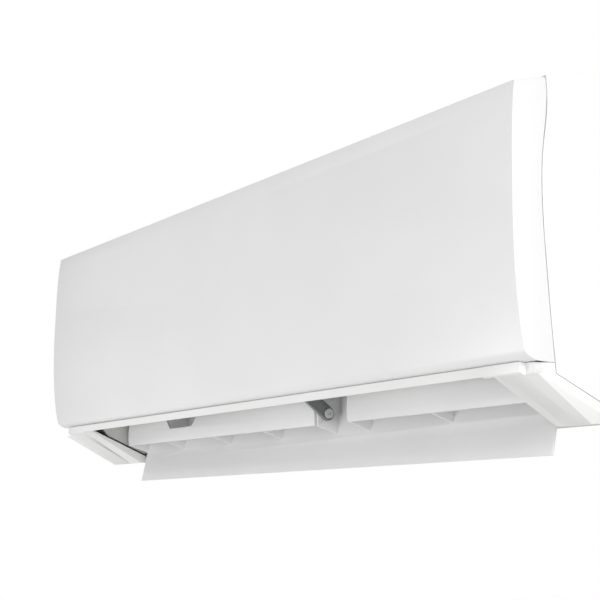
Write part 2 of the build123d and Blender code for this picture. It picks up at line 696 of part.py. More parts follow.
# saddle under the motor and the strap over it
saddle_thickness = 5.0
saddle_width = 16.0
saddle_x = motor_left + motor_length / 2 - saddle_width / 2
motor_seat_radius = motor_radius + part_gap
strap_thickness = 2.0
strap_flange = 8.0
strap_screw_y = fan_y + motor_seat_radius + strap_flange + 1.0
strap_screw_length = 14.0
with BuildPart() as motor_saddle:
    with BuildSketch(side_plane(saddle_x)):
        Polygon((fan_y - motor_radius, fan_z), (fan_y - motor_radius - saddle_thickness, fan_z),
                (fan_y - motor_radius - saddle_thickness, fan_z - motor_radius - saddle_thickness),
                (back_y - wall - part_gap, fan_z - motor_radius - saddle_thickness),
                (back_y - wall - part_gap, fan_z), align=None)
        with Locations((fan_y, fan_z)):
            Circle(motor_seat_radius, mode=Mode.SUBTRACT)
    extrude(amount=saddle_width)
    with BuildSketch(Plane.XY.offset(fan_z)):
        with Locations((saddle_x + saddle_width / 2, strap_screw_y)):
            Circle(screw_radius + running_gap)
    extrude(amount=-strap_screw_length, mode=Mode.SUBTRACT)
finish(motor_saddle.part, "motor_saddle")

with BuildPart() as motor_strap:
    with BuildSketch(side_plane(saddle_x)):
        with Locations((fan_y, fan_z)):
            Circle(motor_seat_radius + strap_thickness)
            Circle(motor_seat_radius, mode=Mode.SUBTRACT)
            Rectangle(4 * motor_radius, 4 * motor_radius, align=(Align.CENTER, Align.MAX),
                      mode=Mode.SUBTRACT)
        with Locations((fan_y + motor_seat_radius + strap_flange, fan_z + strap_thickness / 2),
                       (fan_y - motor_seat_radius - strap_flange, fan_z + strap_thickness / 2)):
            Rectangle(2 * strap_flange - strap_thickness, strap_thickness)
    extrude(amount=saddle_width)
    with BuildSketch(Plane.XY.offset(fan_z)):
        with Locations((saddle_x + saddle_width / 2, strap_screw_y)):
            Circle(screw_radius + part_gap)
    extrude(amount=2 * strap_thickness, mode=Mode.SUBTRACT)
finish(motor_strap.part, "motor_strap")

with BuildPart() as strap_screw:
    with BuildSketch(Plane.XY.offset(fan_z + strap_thickness)):
        with Locations((saddle_x + saddle_width / 2, strap_screw_y)):
            Circle(2 * screw_radius)
            Rectangle(2.4 * screw_radius, 0.5 * screw_radius, mode=Mode.SUBTRACT)
            Rectangle(0.5 * screw_radius, 2.4 * screw_radius, mode=Mode.SUBTRACT)
    extrude(amount=strap_thickness)
    with BuildSketch(Plane.XY.offset(fan_z + strap_thickness + part_gap)):
        with Locations((saddle_x + saddle_width / 2, strap_screw_y)):
            Circle(screw_radius)
    extrude(amount=-strap_screw_length)
finish(strap_screw.part, "motor_strap_screw")

# ================================================================ evaporator
fin_left = -330.0
fin_right = 285.0
slab_thickness = 24.0
tube_radius = 3.5
tube_hole_gap = 0.1
tube_pitch = 21.0
end_plate_thickness = 1.2
tube_overhang = 4.0             # tubes beyond the fins, up to where their bends begin
# each slab: centre of its section, its length, tilt from the vertical, number of tubes
slabs = {
    "fins_front_lower": ((front_y + 35.0, bottom_z + 140.0), 80.0, 0.0, 4),
    "fins_front_upper": ((front_y + 62.5, bottom_z + 220.0), 74.0, -42.0, 3),
    "fins_rear": ((fan_y + 28.0, bottom_z + 219.0), 74.0, 42.0, 3),
}


def slab_plane(x, centre, tilt):
    """Section plane at x, centred on a slab and turned so that its y runs along the slab."""
    plane = side_plane(x)
    plane = Plane(origin=plane.from_local_coords((centre[0], centre[1], 0)),
                  x_dir=(0, math.cos(math.radians(tilt)), math.sin(math.radians(tilt))),
                  z_dir=(1, 0, 0))
    return plane


for name, (centre, length, tilt, tubes) in slabs.items():
    with BuildPart() as fins:
        with BuildSketch(slab_plane(fin_left, centre, tilt)):
            Rectangle(slab_thickness, length)
            with GridLocations(1, tube_pitch, 1, tubes):
                Circle(tube_radius + tube_hole_gap, mode=Mode.SUBTRACT)
        extrude(amount=fin_right - fin_left)
    finish(fins.part, name)

with BuildPart() as end_plates:
    for plate_x in (fin_left - end_plate_thickness - part_gap, fin_right + part_gap):
        for centre, length, tilt, tubes in slabs.values():
            with BuildSketch(slab_plane(plate_x, centre, tilt)):
                Rectangle(slab_thickness, length)
                with GridLocations(1, tube_pitch, 1, tubes):
                    Circle(tube_radius + tube_hole_gap, mode=Mode.SUBTRACT)
            extrude(amount=end_plate_thickness)
finish(end_plates.part, "coil_end_plates")

def tube_point(name, number):
    """Section point of a slab's tube, counted from its lower end."""
    centre, length, tilt, tubes = slabs[name]
    along = (number - (tubes - 1) / 2) * tube_pitch
    return (centre[0] - along * math.sin(math.radians(tilt)),
            centre[1] + along * math.cos(math.radians(tilt)))


tube_right = fin_right + tube_overhang
tube_left = fin_left - tube_overhang
crossover_reach = 9.0
crossover_bend = 6.0
# crossovers from one slab to the next: tube end, outward sense, the two tubes
crossovers = ((tube_right, 1, tube_point("fins_front_lower", 3), tube_point("fins_front_upper", 0)),
              (tube_left, -1, tube_point("fins_front_upper", 2), tube_point("fins_rear", 2)))

with BuildPart() as coil_tubes:
    for centre, length, tilt, tubes in slabs.values():
        with BuildSketch(slab_plane(tube_left, centre, tilt)):
            with GridLocations(1, tube_pitch, 1, tubes):
                Circle(tube_radius)
        extrude(amount=tube_right - tube_left)
        # return bends join neighbouring tubes, alternately on the two ends
        for k in range(tubes - 1):
            at_right = k % 2 == 1
            bend_plane = slab_plane(tube_right if at_right else tube_left, centre, tilt)
            low = -tube_pitch * (tubes - 1) / 2 + k * tube_pitch
            with BuildSketch(bend_plane):
                with Locations((0, low)):
                    Circle(tube_radius)
            axis_start = bend_plane.from_local_coords((0, low + tube_pitch / 2, 0))
            revolve(axis=Axis(axis_start, bend_plane.x_dir), revolution_arc=-180 if at_right else 180)
    for end_x, sense, first, second in crossovers:
        with BuildLine() as crossover:
            FilletPolyline((end_x, *first), (end_x + sense * crossover_reach, *first),
                           (end_x + sense * crossover_reach, *second), (end_x, *second),
                           radius=crossover_bend)
        with BuildSketch(Plane(origin=(end_x, *first), x_dir=(0, 1, 0), z_dir=(sense, 0, 0))):
            Circle(tube_radius)
        sweep(path=crossover.line)
finish(coil_tubes.part, "coil_tubes")

# ================================================================ drain pan and its fittings
pan_top_z = bottom_z + 98.0
pan_floor_z = bottom_z + 76.0
pan_front_y = front_y + 10.0
pan_skin = 2.5
pan_left = -duct_half_length + part_gap
pan_right = fan_room_right - part_gap
pan_back_y = front_y + 50.0
pan_rest_z = pan_top_z + 2.0 - part_gap
spigot_radius = 8.0
spigot_bore = 6.0
spigot_length = 24.0
spigot_y = pan_front_y + 20.0
spigot_z = pan_floor_z + 10.0
tongue = (fan_y - fan_radius - fan_gap, fan_z - 8.0)
slab_low_y = slabs["fins_front_lower"][0][0]

with BuildPart() as drain_pan:
    with BuildSketch(side_plane(pan_left)):
        Polygon((pan_front_y, pan_top_z), (pan_front_y, pan_floor_z - pan_skin),
                (front_throat[0] - 2 * pan_skin, pan_floor_z - pan_skin),
                (front_throat[0] - pan_skin, front_throat[1] + 1.0),
                duct_point(duct_throat + 1.0, -duct_front_reach), chamber_front, tongue,
                (tongue[0] - pan_skin, tongue[1]), (pan_back_y + pan_skin, pan_top_z), align=None)
    extrude(amount=pan_right - pan_left)
    with BuildSketch(Plane.XY.offset(pan_floor_z)):
        with Locations(((pan_left + pan_right) / 2, (pan_front_y + pan_back_y) / 2)):
            Rectangle(pan_right - pan_left - 2 * pan_skin, pan_back_y - pan_front_y - 2 * pan_skin)
    extrude(amount=60.0, mode=Mode.SUBTRACT)
    # rests that carry the coil
    with BuildSketch(Plane.XY.offset(pan_floor_z - pan_skin / 2)):
        with Locations(((fin_left + fin_right) / 2, slab_low_y)):
            with GridLocations(200.0, 1, 4, 1):
                Rectangle(6.0, 10.0)
    extrude(amount=pan_rest_z - pan_floor_z + pan_skin / 2)
    with BuildSketch(side_plane(pan_left)):
        with Locations((spigot_y, spigot_z)):
            Circle(spigot_radius + running_gap)
    extrude(amount=pan_right - pan_left, mode=Mode.SUBTRACT)
finish(drain_pan.part, "drain_pan")

with BuildPart() as drain_spigot:
    with BuildSketch(side_plane(pan_right - pan_skin)):
        with Locations((spigot_y, spigot_z)):
            Circle(spigot_radius)
    extrude(amount=pan_skin + spigot_length)
    with BuildSketch(side_plane(pan_right)):
        with Locations((spigot_y, spigot_z)):
            Circle(spigot_radius + 2.0)
    extrude(amount=2.0)
    with BuildSketch(side_plane(pan_right - pan_skin)):
        with Locations((spigot_y, spigot_z)):
            Circle(spigot_bore)
    extrude(amount=pan_skin + spigot_length, mode=Mode.SUBTRACT)
finish(drain_spigot.part, "drain_spigot")

with BuildPart() as drain_plug:
    with BuildSketch(side_plane(pan_left - 4.0)):
        with Locations((spigot_y, spigot_z)):
            Circle(spigot_radius + 2.0)
    extrude(amount=4.0)
    with BuildSketch(side_plane(pan_left)):
        with Locations((spigot_y, spigot_z)):
            Circle(spigot_radius)
    extrude(amount=pan_skin + 3.0)
finish(drain_plug.part, "drain_plug")

# ================================================================ louver
blade_half_length = 336.0
blade_skin = 2.2
blade_crown = 1.6
main_blade_top = -31.0          # along the blade from the louver axis, downwards
main_blade_foot = 50.0
main_blade_behind = 14.0
front_blade_top = (-20.0, -11.6)
front_blade_foot = (13.2, -8.0)
front_blade_skin = 2.0
centre_gap = (45.7, 98.0)       # the front blade is cut away round the centre arm
notch_x = -211.0
notch_foot = -0.5
notch_half_width = 24.0
notch_flare = 24.0
notch_corner_radius = 6.0
rib_thickness = 2.0
rib_positions = (-247.0, -145.0, -47.0, 47.0, 99.0, 214.0)
rib_foot = 16.3                 # ribs meet the main blade this far down it
pin_radius = 4.5
arm_left = rib_positions[3] + rib_thickness / 2 + 0.6
arm_thickness = 3.2
arm_end_radius = 6.6
pin_head_length = 1.8
arm_angle = 140.0
louver_motor_x = duct_half_length + wall + part_gap


def blade_section(top, foot, skin, crown):
    """Closed, slightly crowned blade section between two points given along and behind."""
    mid = ((top[0] + foot[0]) / 2, (top[1] + foot[1]) / 2)
    with BuildLine() as line:
        ThreePointArc(blade_point(*top), blade_point(mid[0], mid[1] + crown), blade_point(*foot))
        Line(blade_point(*foot), blade_point(foot[0], foot[1] - skin))
        ThreePointArc(blade_point(foot[0], foot[1] - skin),
                      blade_point(mid[0], mid[1] + crown - skin),
                      blade_point(top[0], top[1] - skin))
        Line(blade_point(top[0], top[1] - skin), blade_point(*top))
    return line


main_section = blade_section((main_blade_top, main_blade_behind + blade_skin),
                             (main_blade_foot, main_blade_behind + blade_skin),
                             blade_skin, blade_crown)
front_section = blade_section(front_blade_top, front_blade_foot, front_blade_skin, -blade_crown)
rib_outline = [blade_point(front_blade_top[0] + 1.0, front_blade_top[1] + part_gap),
               blade_point((front_blade_top[0] + front_blade_foot[0]) / 2,
                           (front_blade_top[1] + front_blade_foot[1]) / 2 - blade_crown + part_gap),
               blade_point(front_blade_foot[0], front_blade_foot[1] + part_gap),
               blade_point(rib_foot, main_blade_behind + blade_crown + 0.3),
               blade_point(main_blade_top + 8.0, main_blade_behind + blade_crown)]

with BuildPart() as main_blade:
    with BuildSketch(side_plane(-blade_half_length)):
        add(main_section)
        make_face()
    extrude(amount=2 * blade_half_length)
    rib_xs = [x - rib_thickness / 2 for x in rib_positions]
    for x in [-blade_half_length, *rib_xs, blade_half_length - rib_thickness]:
        with BuildSketch(side_plane(x)):
            Polygon(*rib_outline, align=None)
        extrude(amount=rib_thickness)
    with BuildSketch(side_plane(-blade_half_length)):
        with Locations((pivot_y, pivot_z)):
            Circle(louver_pin_radius)
    extrude(amount=-(duct_half_length + wall - blade_half_length + 1.0))
    with BuildSketch(side_plane(blade_half_length - rib_thickness)):
        with Locations((pivot_y, pivot_z)):
            Circle(louver_shaft_radius + running_gap)
    extrude(amount=rib_thickness, mode=Mode.SUBTRACT)
    with BuildSketch(side_plane(rib_positions[3] - rib_thickness / 2)):
        with Locations((pivot_y, pivot_z)):
            Circle(pin_radius)
    extrude(amount=rib_thickness, mode=Mode.SUBTRACT)
finish(main_blade.part, "louver_main_blade")

blade_lean = math.radians(blade_angle)
notch_plane = Plane(origin=(notch_x, *blade_point(notch_foot, -12.0)), x_dir=(1, 0, 0),
                    z_dir=(0, math.cos(blade_lean), -math.sin(blade_lean)))
with BuildPart() as front_blade:
    with BuildSketch(side_plane(-blade_half_length)):
        add(front_section)
        make_face()
    extrude(amount=2 * blade_half_length)
    with BuildSketch(side_plane(centre_gap[0])):
        with Locations(blade_point(0, -9.0)):
            Rectangle(30.0, 70.0, rotation=-blade_angle)
    extrude(amount=centre_gap[1] - centre_gap[0], mode=Mode.SUBTRACT)
    with BuildSketch(notch_plane):
        Polygon((-notch_half_width, 0), (notch_half_width, 0),
                (notch_half_width + notch_flare, -notch_flare),
                (-notch_half_width - notch_flare, -notch_flare), align=None)
        fillet(vertices().filter_by_position(Axis.Y, -0.1, 0.1), radius=notch_corner_radius)
    extrude(amount=14.0, both=True, mode=Mode.SUBTRACT)
finish(front_blade.part, "louver_front_blade")

with BuildPart() as centre_pin:
    with BuildSketch(side_plane(rib_positions[3] - rib_thickness / 2)):
        with Locations((pivot_y, pivot_z)):
            Circle(pin_radius)
    extrude(amount=arm_left + arm_thickness + pin_head_length - rib_positions[3] + rib_thickness / 2)
    with BuildSketch(side_plane(arm_left + arm_thickness + pin_head_length / 2)):
        with Locations((pivot_y, pivot_z)):
            Rectangle(1.2 * pin_radius, 0.2 * pin_radius, rotation=35)
            Rectangle(0.2 * pin_radius, 1.2 * pin_radius, rotation=35)
    extrude(amount=pin_head_length, mode=Mode.SUBTRACT)
finish(centre_pin.part, "louver_centre_pin")

arm_dir = (math.cos(math.radians(arm_angle)), math.sin(math.radians(arm_angle)))
duct_wall_dir = (front_throat[0] - strip_inner[0], front_throat[1] - strip_inner[1])
duct_wall_length = math.hypot(*duct_wall_dir)
duct_wall_normal = (duct_wall_dir[1] / duct_wall_length, -duct_wall_dir[0] / duct_wall_length)


def arm_reach(side):
    """Where one long side of the centre arm meets the duct's front wall."""
    start = (pivot_y - side * arm_end_radius * arm_dir[1], pivot_z + side * arm_end_radius * arm_dir[0])
    gap = sum((strip_inner[i] - start[i]) * duct_wall_normal[i] for i in (0, 1)) + part_gap
    run = gap / sum(arm_dir[i] * duct_wall_normal[i] for i in (0, 1))
    return start, (start[0] + run * arm_dir[0], start[1] + run * arm_dir[1])


with BuildPart() as centre_arm:
    with BuildSketch(side_plane(arm_left)):
        lower_start, lower_end = arm_reach(1)
        upper_start, upper_end = arm_reach(-1)
        Polygon(lower_start, lower_end, upper_end, upper_start, align=None)
        with Locations((pivot_y, pivot_z)):
            Circle(arm_end_radius)
            Circle(pin_radius + running_gap, mode=Mode.SUBTRACT)
    extrude(amount=arm_thickness)
finish(centre_arm.part, "louver_centre_arm")

louver_motor_radius = 12.0
louver_motor_length = 18.0
motor_lug_width = 8.0
motor_lug_thickness = 1.5
louver_bore_depth = 9.0
with BuildPart() as louver_shaft:
    with BuildSketch(side_plane(blade_half_length - rib_thickness)):
        with Locations((pivot_y, pivot_z)):
            Circle(louver_shaft_radius)
    extrude(amount=louver_motor_x + louver_bore_depth - part_gap - blade_half_length + rib_thickness)
finish(louver_shaft.part, "louver_drive_shaft")

with BuildPart() as louver_motor:
    with BuildSketch(side_plane(louver_motor_x)):
        with Locations((pivot_y, pivot_z)):
            Circle(louver_motor_radius)
            SlotCenterToCenter(2 * motor_lug_reach, motor_lug_width, rotation=motor_lug_angle)
            with PolarLocations(motor_lug_reach, 2, start_angle=motor_lug_angle):
                Circle(small_screw_radius + part_gap, mode=Mode.SUBTRACT)
    extrude(amount=motor_lug_thickness)
    with BuildSketch(side_plane(louver_motor_x)):
        with Locations((pivot_y, pivot_z)):
            Circle(louver_motor_radius)
    extrude(amount=louver_motor_length)
    with BuildSketch(side_plane(louver_motor_x)):
        with Locations((pivot_y, pivot_z)):
            Circle(louver_shaft_radius + running_gap)
    extrude(amount=louver_bore_depth, mode=Mode.SUBTRACT)
finish(louver_motor.part, "louver_motor")

with BuildPart() as louver_screws:
    with BuildSketch(side_plane(louver_motor_x + motor_lug_thickness)):
        with Locations((pivot_y, pivot_z)):
            with PolarLocations(motor_lug_reach, 2, start_angle=motor_lug_angle):
                Circle(2 * small_screw_radius)
                Rectangle(2.4 * small_screw_radius, 0.5 * small_screw_radius, mode=Mode.SUBTRACT)
    extrude(amount=small_screw_radius)
    with BuildSketch(side_plane(duct_half_length + part_gap)):
        with Locations((pivot_y, pivot_z)):
            with PolarLocations(motor_lug_reach, 2, start_angle=motor_lug_angle):
                Circle(small_screw_radius)
    extrude(amount=wall + motor_lug_thickness + part_gap)
finish(louver_screws.part, "louver_motor_screws")

# ================================================================ vertical vanes and their links
vanes_per_bank = 4
vane_first_x = 60.0             # from the middle to the nearest vane of a bank
vane_pitch = 68.0
vane_thickness = 1.6
vane_low, vane_high = 36.5, 66.0        # along the duct from the louver axis
vane_front, vane_rear = -26.0, 31.0     # across the duct
vane_pivot = 50.0
vane_stem_radius = 2.0
vane_collar_radius = 3.4
link_pin_along = 61.0
link_pin_radius = 1.5
link_width = 7.0
link_thickness = 2.0
rail_width = 13.0
rail_front = 33.0
collar_gap = 0.3


def duct_plane(x, along, across):
    """Plane square to the duct's rear wall: x stays world X, y runs up the duct, z to the rear."""
    a = math.radians(flow_angle)
    return Plane(origin=(x, *duct_point(along, across)), x_dir=(1, 0, 0),
                 z_dir=(0, math.cos(a), -math.sin(a)))


bank_middle = vane_first_x + vane_pitch * (vanes_per_bank - 1) / 2
bank_length = vane_pitch * (vanes_per_bank - 1)

for side, bank in ((-1, "left"), (1, "right")):
    for k in range(vanes_per_bank):
        vane_x = side * (vane_first_x + k * vane_pitch)
        with BuildPart() as vane:
            with BuildSketch(side_plane(vane_x - vane_thickness / 2)):
                Polygon(duct_point(vane_low, vane_front + 6.0), duct_point(vane_low, vane_rear - 3.0),
                        duct_point(vane_low + 5.0, vane_rear), duct_point(vane_high - 5.0, vane_rear),
                        duct_point(vane_high, vane_rear - 5.0), duct_point(vane_high, vane_front),
                        duct_point(vane_low + 8.0, vane_front), align=None)
            extrude(amount=vane_thickness)
            # stem and collar at the rail
            with BuildSketch(duct_plane(vane_x, vane_pivot, vane_rear - 4.0)):
                Circle(vane_collar_radius)
            extrude(amount=rail_front - collar_gap - vane_rear + 4.0)
            with BuildSketch(duct_plane(vane_x, vane_pivot, vane_rear)):
                Circle(vane_stem_radius)
            extrude(amount=duct_rear_reach - part_gap - vane_rear)
            # link pin on the front edge
            with BuildSketch(duct_plane(vane_x, link_pin_along, vane_front + 4.0)):
                Circle(link_pin_radius)
            extrude(amount=-(4.0 + collar_gap + link_thickness + 1.0))
        finish(vane.part, f"vane_{bank}_{k + 1}")

    with BuildPart() as link:
        with BuildSketch(duct_plane(side * bank_middle, link_pin_along, vane_front - collar_gap)):
            SlotCenterToCenter(bank_length, link_width)
            with GridLocations(vane_pitch, 1, vanes_per_bank, 1):
                Circle(link_pin_radius + running_gap, mode=Mode.SUBTRACT)
        extrude(amount=-link_thickness)
        # finger tab between the first two vanes
        with BuildSketch(duct_plane(side * (vane_first_x + vane_pitch / 2), link_pin_along - 6.0,
                                    vane_front - collar_gap)):
            Rectangle(14.0, 14.0)
        extrude(amount=-link_thickness)
    finish(link.part, f"vane_link_{bank}")

    with BuildPart() as rail:
        with BuildSketch(duct_plane(side * bank_middle, vane_pivot, rail_front)):
            Rectangle(bank_length + 2 * rail_width, rail_width)
            with GridLocations(vane_pitch, 1, vanes_per_bank, 1):
                Circle(vane_stem_radius + running_gap, mode=Mode.SUBTRACT)
        extrude(amount=duct_rear_reach - part_gap - rail_front)
    finish(rail.part, f"vane_rail_{bank}")

# ================================================================ wall plate
plate_half_width = 300.0
plate_bottom_z = hook_bottom_z - plate_skin
plate_top_z = hook_top_z + 2 * plate_skin
screw_hole_radius = 2.75
hook_depth = wall + part_gap + plate_skin - back_y
plate_window = (180.0, 70.0)

with BuildPart() as wall_plate:
    with BuildSketch(Plane.XZ):
        with Locations((0, (plate_bottom_z + plate_top_z) / 2)):
            Rectangle(2 * plate_half_width, plate_top_z - plate_bottom_z)
        with GridLocations(screw_spacing_x, screw_spacing_z, 2, 2):
            Circle(screw_hole_radius, mode=Mode.SUBTRACT)
        with Locations((-140.0, -40.0), (140.0, -40.0), (-140.0, 50.0), (140.0, 50.0)):
            RectangleRounded(*plate_window, 8.0, mode=Mode.SUBTRACT)
    extrude(amount=plate_skin)
    # bent hooks at the top and catches at the bottom
    for side in (-1, 1):
        for hook_z in (hook_top_z, hook_bottom_z):
            with BuildSketch(Plane.XZ):
                with Locations((side * hook_x, hook_z)):
                    Rectangle(hook_width, plate_skin)
            extrude(amount=hook_depth)
            with BuildSketch(Plane.XZ.offset(hook_depth - plate_skin)):
                with Locations((side * hook_x, hook_z + hook_lip / 2)):
                    Rectangle(hook_width, hook_lip + plate_skin)
            extrude(amount=plate_skin)
    # stiffening bead
    with BuildSketch(Plane.XZ.offset(plate_skin)):
        with Locations((0, 0.0)):
            RectangleRounded(2 * plate_half_width - 120.0, 8.0, 3.0)
    extrude(amount=1.0)
finish(wall_plate.part, "wall_plate")

# ================================================================ refrigerant pipes
gas_pipe_radius = 4.8
liquid_pipe_radius = 3.2
pipe_start_x = tube_right + part_gap
gas_x = fan_room_right - 6.0
liquid_x = fan_room_right + wall + liquid_pipe_radius + part_gap
gas_y, gas_low_z = -24.0, -74.0
liquid_y, liquid_low_z = -20.0, -100.0
pipe_end_x = -60.0
gas_tube = tube_point("fins_rear", 0)
liquid_tube = tube_point("fins_front_lower", 0)
gas_route = ((pipe_start_x, *gas_tube), (gas_x, *gas_tube), (gas_x, gas_y, gas_tube[1] - 12.0),
             (gas_x, gas_y, gas_low_z), (pipe_end_x, gas_y, gas_low_z))
liquid_route = ((pipe_start_x, *liquid_tube), (liquid_x, *liquid_tube),
                (liquid_x, liquid_y, liquid_tube[1]), (liquid_x, liquid_y, liquid_low_z),
                (pipe_end_x, liquid_y, liquid_low_z))
gas_bend, liquid_bend = 8.0, 9.0

for name, route, radius, bend in (("gas_pipe", gas_route, gas_pipe_radius, gas_bend),
                                  ("liquid_pipe", liquid_route, liquid_pipe_radius, liquid_bend)):
    with BuildPart() as pipe:
        with BuildLine() as run:
            FilletPolyline(*route, radius=bend)
        with BuildSketch(Plane(origin=route[0], x_dir=(0, 1, 0), z_dir=(1, 0, 0))):
            Circle(radius)
        sweep(path=run.line)
    finish(pipe.part, name)

nut_length = 20.0
gas_nut_flats = 22.0
liquid_nut_flats = 17.0
nut_bore_wall = 2.5
with BuildPart() as flare_nuts:
    for y, z, flats, radius in ((gas_y, gas_low_z, gas_nut_flats, gas_pipe_radius),
                                (liquid_y, liquid_low_z, liquid_nut_flats, liquid_pipe_radius)):
        with BuildSketch(side_plane(pipe_end_x)):
            with Locations((y, z)):
                RegularPolygon(flats / 2, 6, major_radius=False)
                Circle(radius + running_gap, mode=Mode.SUBTRACT)
        extrude(amount=nut_length / 2, both=True)
        # threaded mouth
        with BuildSketch(side_plane(pipe_end_x - part_gap)):
            with Locations((y, z)):
                Circle(flats / 2 - nut_bore_wall)
        extrude(amount=-nut_length / 2, mode=Mode.SUBTRACT)
finish(flare_nuts.part, "flare_nuts")

clamp_x = 120.0
clamp_width = 12.0
clamp_margin = 6.0
clamp_low_z = liquid_low_z - liquid_pipe_radius - clamp_margin
clamp_high_z = gas_low_z + gas_pipe_radius + clamp_margin
clamp_front_y = gas_y - gas_pipe_radius - clamp_margin
with BuildPart() as pipe_clamp:
    with BuildSketch(side_plane(clamp_x)):
        Polygon((back_y - wall - part_gap, clamp_low_z), (clamp_front_y, clamp_low_z),
                (clamp_front_y, clamp_high_z), (back_y - wall - part_gap, clamp_high_z), align=None)
        with Locations((gas_y, gas_low_z)):
            Circle(gas_pipe_radius + running_gap, mode=Mode.SUBTRACT)
        with Locations((liquid_y, liquid_low_z)):
            Circle(liquid_pipe_radius + running_gap, mode=Mode.SUBTRACT)
    extrude(amount=clamp_width)
finish(pipe_clamp.part, "pipe_clamp")

# ================================================================ control box
box_skin = 2.0
box_left = fan_room_right + wall + part_gap
box_right = half_width - 9.0
box_back_y = front_y + 58.0
box_front_y = front_y + 27.0
box_low_z = bottom_z + 114.0
box_high_z = bottom_z + 218.0
board_margin = 4.0
post_radius = 2.5
post_height = 2.0
board_thickness = 1.6
box_middle = ((box_left + box_right) / 2, (box_low_z + box_high_z) / 2)
box_size = (box_right - box_left, box_high_z - box_low_z)
terminal_size = (44.0, 18.0, 18.0)      # across, up, deep
terminal_margin = 3.0
board_middle = (box_middle[0], box_middle[1] + terminal_size[1] / 2 + terminal_margin)
board_size = (box_size[0] - 2 * box_skin - 2 * board_margin,
              box_size[1] - terminal_size[1] - 2 * (box_skin + board_margin + terminal_margin))
cord_radius = 4.5               # bore left open for the supply cord
cord_x = box_left + 44.0
cord_y = box_front_y + 10.0
button_radius = 4.0
button_x = 350.0
button_z = 60.0
button_flange = 1.5
button_travel = 1.5

with BuildPart() as control_box:
    with BuildSketch(Plane.XZ.offset(-box_back_y)):
        with Locations(box_middle):
            Rectangle(*box_size)
    extrude(amount=box_back_y - box_front_y)
    with BuildSketch(Plane.XZ.offset(box_skin - box_back_y)):
        with Locations(box_middle):
            Rectangle(box_size[0] - 2 * box_skin, box_size[1] - 2 * box_skin)
    extrude(amount=box_back_y - box_front_y, mode=Mode.SUBTRACT)
    # posts under the main board
    with BuildSketch(Plane.XZ.offset(box_skin - box_back_y)):
        with Locations(board_middle):
            with GridLocations(board_size[0] - 4 * post_radius, board_size[1] - 4 * post_radius, 2, 2):
                Circle(post_radius)
    extrude(amount=post_height)
    with BuildSketch(Plane.XY.offset(box_low_z)):
        with Locations((cord_x, cord_y)):
            Circle(cord_radius)
    extrude(amount=box_skin, mode=Mode.SUBTRACT)
finish(control_box.part, "control_box")

with BuildPart() as box_cover:
    with BuildSketch(Plane.XZ.offset(part_gap - box_front_y)):
        with Locations(box_middle):
            Rectangle(*box_size)
        with Locations((button_x, button_z)):
            Circle(button_radius + 2 * running_gap, mode=Mode.SUBTRACT)
    extrude(amount=box_skin)
finish(box_cover.part, "control_box_cover")

with BuildPart() as button:
    with BuildSketch(Plane.XZ.offset(-box_front_y)):
        with Locations((button_x, button_z)):
            Circle(button_radius)
    extrude(amount=box_skin + 2 * button_travel)
    with BuildSketch(Plane.XZ.offset(-box_front_y)):
        with Locations((button_x, button_z)):
            Circle(button_radius + button_flange)
    extrude(amount=-button_flange)
finish(button.part, "emergency_button")

board_back_y = box_back_y - box_skin - post_height - part_gap
board_front_y = board_back_y - board_thickness
with BuildPart() as main_board:
    with BuildSketch(Plane.XZ.offset(-board_back_y)):
        with Locations(board_middle):
            Rectangle(*board_size)
    extrude(amount=board_thickness)
finish(main_board.part, "main_board")

# blocks on the board: offset from its middle, size across and up, height
board_blocks = (((-18.0, 22.0), (18.0, 15.0), 15.0), ((4.0, 22.0), (18.0, 15.0), 15.0),
                ((-16.0, 0.0), (24.0, 20.0), 18.0), ((20.0, -9.0), (10.0, 22.0), 8.0),
                ((-18.0, -28.0), (22.0, 6.0), 8.0), ((12.0, -28.0), (22.0, 6.0), 8.0),
                ((4.0, -12.0), (14.0, 14.0), 2.0))
capacitor = ((24.0, 18.0), 7.0, 22.0)
with BuildPart() as board_parts:
    for place, size, height in board_blocks:
        with BuildSketch(Plane.XZ.offset(part_gap - board_front_y)):
            with Locations((board_middle[0] + place[0], board_middle[1] + place[1])):
                Rectangle(*size)
        extrude(amount=height)
    with BuildSketch(Plane.XZ.offset(part_gap - board_front_y)):
        with Locations((board_middle[0] + capacitor[0][0], board_middle[1] + capacitor[0][1])):
            Circle(capacitor[1])
    extrude(amount=capacitor[2])
finish(board_parts.part, "board_components")

terminal_z = box_low_z + box_skin + terminal_margin + terminal_size[1] / 2
terminal_back_y = box_back_y - box_skin - part_gap
terminal_ways = 4
terminal_pitch = 10.0
terminal_rib = 2.0
well_depth = 6.0
terminal_screw_radius = 2.6
terminal_screw_head = 2.5
with BuildPart() as terminal_block:
    with BuildSketch(Plane.XZ.offset(-terminal_back_y)):
        with Locations((cord_x, terminal_z)):
            Rectangle(terminal_size[0], terminal_size[1])
    extrude(amount=terminal_size[2])
    # wells for the terminal screws, open to the front
    with BuildSketch(Plane.XZ.offset(terminal_size[2] - well_depth - terminal_back_y)):
        with Locations((cord_x, terminal_z)):
            with GridLocations(terminal_pitch, 1, terminal_ways, 1):
                Rectangle(terminal_pitch - terminal_rib, terminal_size[1] - 3 * terminal_rib)
    extrude(amount=well_depth, mode=Mode.SUBTRACT)
    with BuildSketch(Plane.XZ.offset(terminal_size[2] - well_depth - terminal_back_y)):
        with Locations((cord_x, terminal_z)):
            with GridLocations(terminal_pitch, 1, terminal_ways, 1):
                Circle(terminal_screw_radius)
                Rectangle(1.3 * terminal_screw_radius, 0.3 * terminal_screw_radius, mode=Mode.SUBTRACT)
    extrude(amount=terminal_screw_head)
finish(terminal_block.part, "terminal_block")

